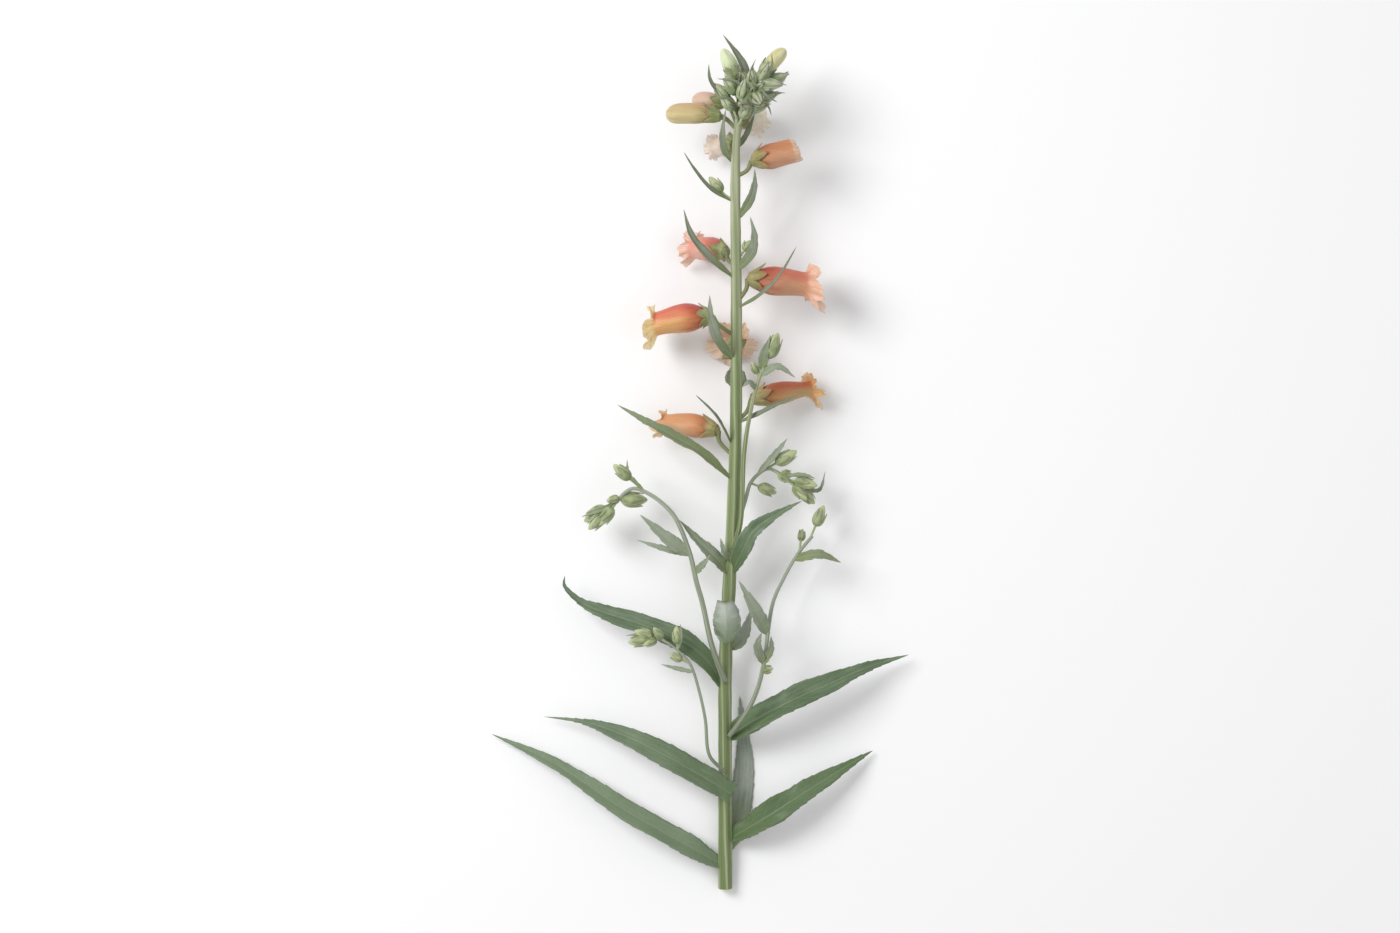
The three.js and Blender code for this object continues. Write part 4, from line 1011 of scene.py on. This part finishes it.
def build_stem():
    """The stem, its bracts, and the small green buds on it and round its nodding tip."""
    piece("stem", [stem_skin()], stem_green)
    steps = np.linspace(-1, 1, 9)
    bracts = [
        blade(path, width, face, fold=0.35, thick=0.55, wave=0.08, rows=30, seed=i, steps=steps, tone=-0.1)
        for i, (path, width, face) in enumerate(BRACTS)
    ]
    piece("bracts", bracts, bract_green, "stem")
    piece("green_buds", stem_buds(STEM_BUDS, seed=0), bud_green, "stem")

    rng = np.random.default_rng(5)
    buds, points = [], []

    def point(path, width, face, seed):
        points.append(blade(path, width, face, fold=0.35, thick=0.45, wave=0.05, rows=16, seed=seed,
                            steps=steps, tone=rng.uniform(-1, 1)))

    for i in range(TIP_COUNT):
        share = i / (TIP_COUNT - 1)
        u = STEM.by_length(TIP_START + (1 - TIP_START) * np.sqrt(share))
        root, along = STEM.at(u), STEM.way(u)
        first = unit(np.array([0, 0, 1]) - along[2] * along)
        across = first * cos(i * GOLDEN) + np.cross(along, first) * sin(i * GOLDEN)
        out = unit(across * (1 - 0.6 * share) + along * (TIP_LEAN + share))
        length = TIP_FIRST + (TIP_LAST - TIP_FIRST) * share
        path = [root, root + out * length * 0.6, root + out * length * 1.2]
        buds += green_bud(path, length, length * TIP_PLUMP, seed=20 + i, wrapped=1.15)
        for k, (width, far) in enumerate(TIP_LEAVES):
            aside = along * rng.uniform(-0.5, 0.5) + np.cross(along, out) * rng.uniform(-0.7, 0.7)
            aside = aside * length * (k > 0)
            middle = root + out * 0.8 * length - 2 * along + 0.5 * aside
            tip = root + out * far * length - 0.5 * along + aside
            point([root - 1.5 * along, middle, tip], width, along, seed=40 + i + 20 * k)
    buds += stem_buds(CROWDED_BUDS, seed=50, wrapped=1.1)
    for i, (path, width) in enumerate(SPIKES):
        point(path, width, (0.3, 0.2, 1), seed=90 + i)
    piece("tip_bracts", points, bract_green, "stem")
    piece("tip_buds", buds, tip_green, "stem")


def build_leaves():
    """The twelve stem leaves, with eight rows to each tooth."""
    for i, leaf in enumerate(LEAVES):
        name = f"leaf_{i + 1}"
        finish, slot = LEAF_LOOKS.get(name, (leaf_green, "leaf"))
        piece(name, [blade(**leaf, rows=8 * leaf["teeth"], seed=60 + i)], finish)


def build_flower(name, b, axis, radius_of, petals, flare, seed):
    """The stalk with its calyx, and the petals, of a bloom or a coloured bud."""
    slot, calyx, colours = FLOWER_LOOKS[name]
    skins = stalk(b, axis, lambda s, angle: radius_of(b, s, angle), flare, seed)
    piece(f"{name}_calyx", skins, calyx)
    piece(f"{name}_petals", [petals], petal_finish(f"{name}_petal", colours))


def build_blooms():
    """The nine blooms, each of a calyx, a bell and its stamens."""
    for i, b in enumerate(BLOOMS):
        name, axis = f"bloom_{i + 1}", Axis(b.base, b.aim, arch=b.arch, length=b.length)
        build_flower(name, b, axis, bell_radius, bell(b, axis, seed=100 + i), flare=1.2, seed=80 + i)
        piece(f"{name}_stamens", stamens(b, axis), stamen_cream)


def build_buds():
    """The four coloured buds, each of a calyx and closed petals."""
    for i, b in enumerate(BUDS):
        axis = Axis(b.base, b.aim, arch=b.arch, length=b.length)
        build_flower(f"bud_{i + 1}", b, axis, bud_radius, closed_bell(b, axis), flare=0.5, seed=120 + i)


def build_shoots():
    """Each shoot is a twig that thins towards its end, green buds and narrow leaves.

    The twig's radius at the share u is 1 - 0.35 u of that at its root, with four low ribs.
    """
    for i, (name, (radius, path, buds, leaves)) in enumerate(SHOOTS.items()):
        line = Path(path)
        twig = tube(line, lambda u, angle: radius * (1 - 0.35 * u) * (1 + 0.06 * cos(4 * angle)),
                    np.linspace(0, 1, 81), 12)
        piece(name, [twig], stem_green if name == "shoot_right_1" else shoot_green)
        skins = []
        for k, (share, tip, length) in enumerate(buds):
            root = line.along(min(share, 0.985))
            path = [root, root + (np.array(tip) - root) * 0.45, tip]
            skins += green_bud(path, length, length * 0.25, seed=200 + 10 * i + k, wrapped=0.8)
        piece(f"{name}_buds", skins, bud_green, name)
        blades = [
            blade([line.along(share), *points], width, (0, 0.3, 1), thick=0.55, rows=40, teeth=5,
                  seed=300 + 10 * i + k, steps=np.linspace(-1, 1, 11), tone=0.7 * cos(k))
            for k, (share, points, width) in enumerate(leaves)
        ]
        piece(f"{name}_leaves", blades, leaf_pale, name)


# The room

FLOOR_REACH, FLOOR_BELOW = 3.0, 0.0002
SKY = 0.55
LAMPS = {"key": ((-0.75, 0.45, 0.95), 0.6, 12), "fill": ((0.7, -0.2, 1.0), 1.2, 2.5)}  # place, size and power
LENS = 85
PICTURE_WIDTH, PICTURE_HEIGHT = 1400, 933
MARGIN = 1.09  # height of the view as a share of the spike's, at the height of the stem
STEM_HEIGHT = 0.02


def build_room():
    """A pale floor, an even bright sky, two large soft lamps and a camera that looks straight down."""
    mesh = bpy.data.meshes.new("floor")
    square = (-1, -1), (1, -1), (1, 1), (-1, 1)
    corners = [(x * FLOOR_REACH, y * FLOOR_REACH, -FLOOR_BELOW) for x, y in square]
    mesh.from_pydata(corners, [], [(0, 1, 2, 3)])
    finish = Finish("floor", 0.9)
    finish.set("Base Color", "#f2f2f3")
    mesh.materials.append(finish.material)
    added("floor", mesh)
    scene = bpy.context.scene
    scene.world = bpy.data.worlds.new("sky")
    scene.world.use_nodes = True
    sky = scene.world.node_tree.nodes["Background"].inputs
    sky["Color"].default_value = (1, 1, 1, 1)
    sky["Strength"].default_value = SKY
    scene.view_settings.view_transform = "Standard"
    for name, (place, size, power) in LAMPS.items():
        lamp = bpy.data.lights.new(name, "AREA")
        lamp.size, lamp.energy = size, power
        obj = added(name, lamp)
        obj.location = place
        obj.rotation_euler = (-Vector(place)).to_track_quat("-Z", "Y").to_euler()
    camera = bpy.data.cameras.new("camera")
    camera.lens = LENS
    scene.camera = added("camera", camera)
    shown = MARGIN * (cad_high.y - cad_low.y) * PICTURE_WIDTH / PICTURE_HEIGHT
    distance = camera.lens / camera.sensor_width * shown
    scene.camera.location = (*((cad_low + cad_high) / 2).xy, distance + STEM_HEIGHT)


build_stem()
build_leaves()
build_blooms()
build_buds()
build_shoots()
build_room()
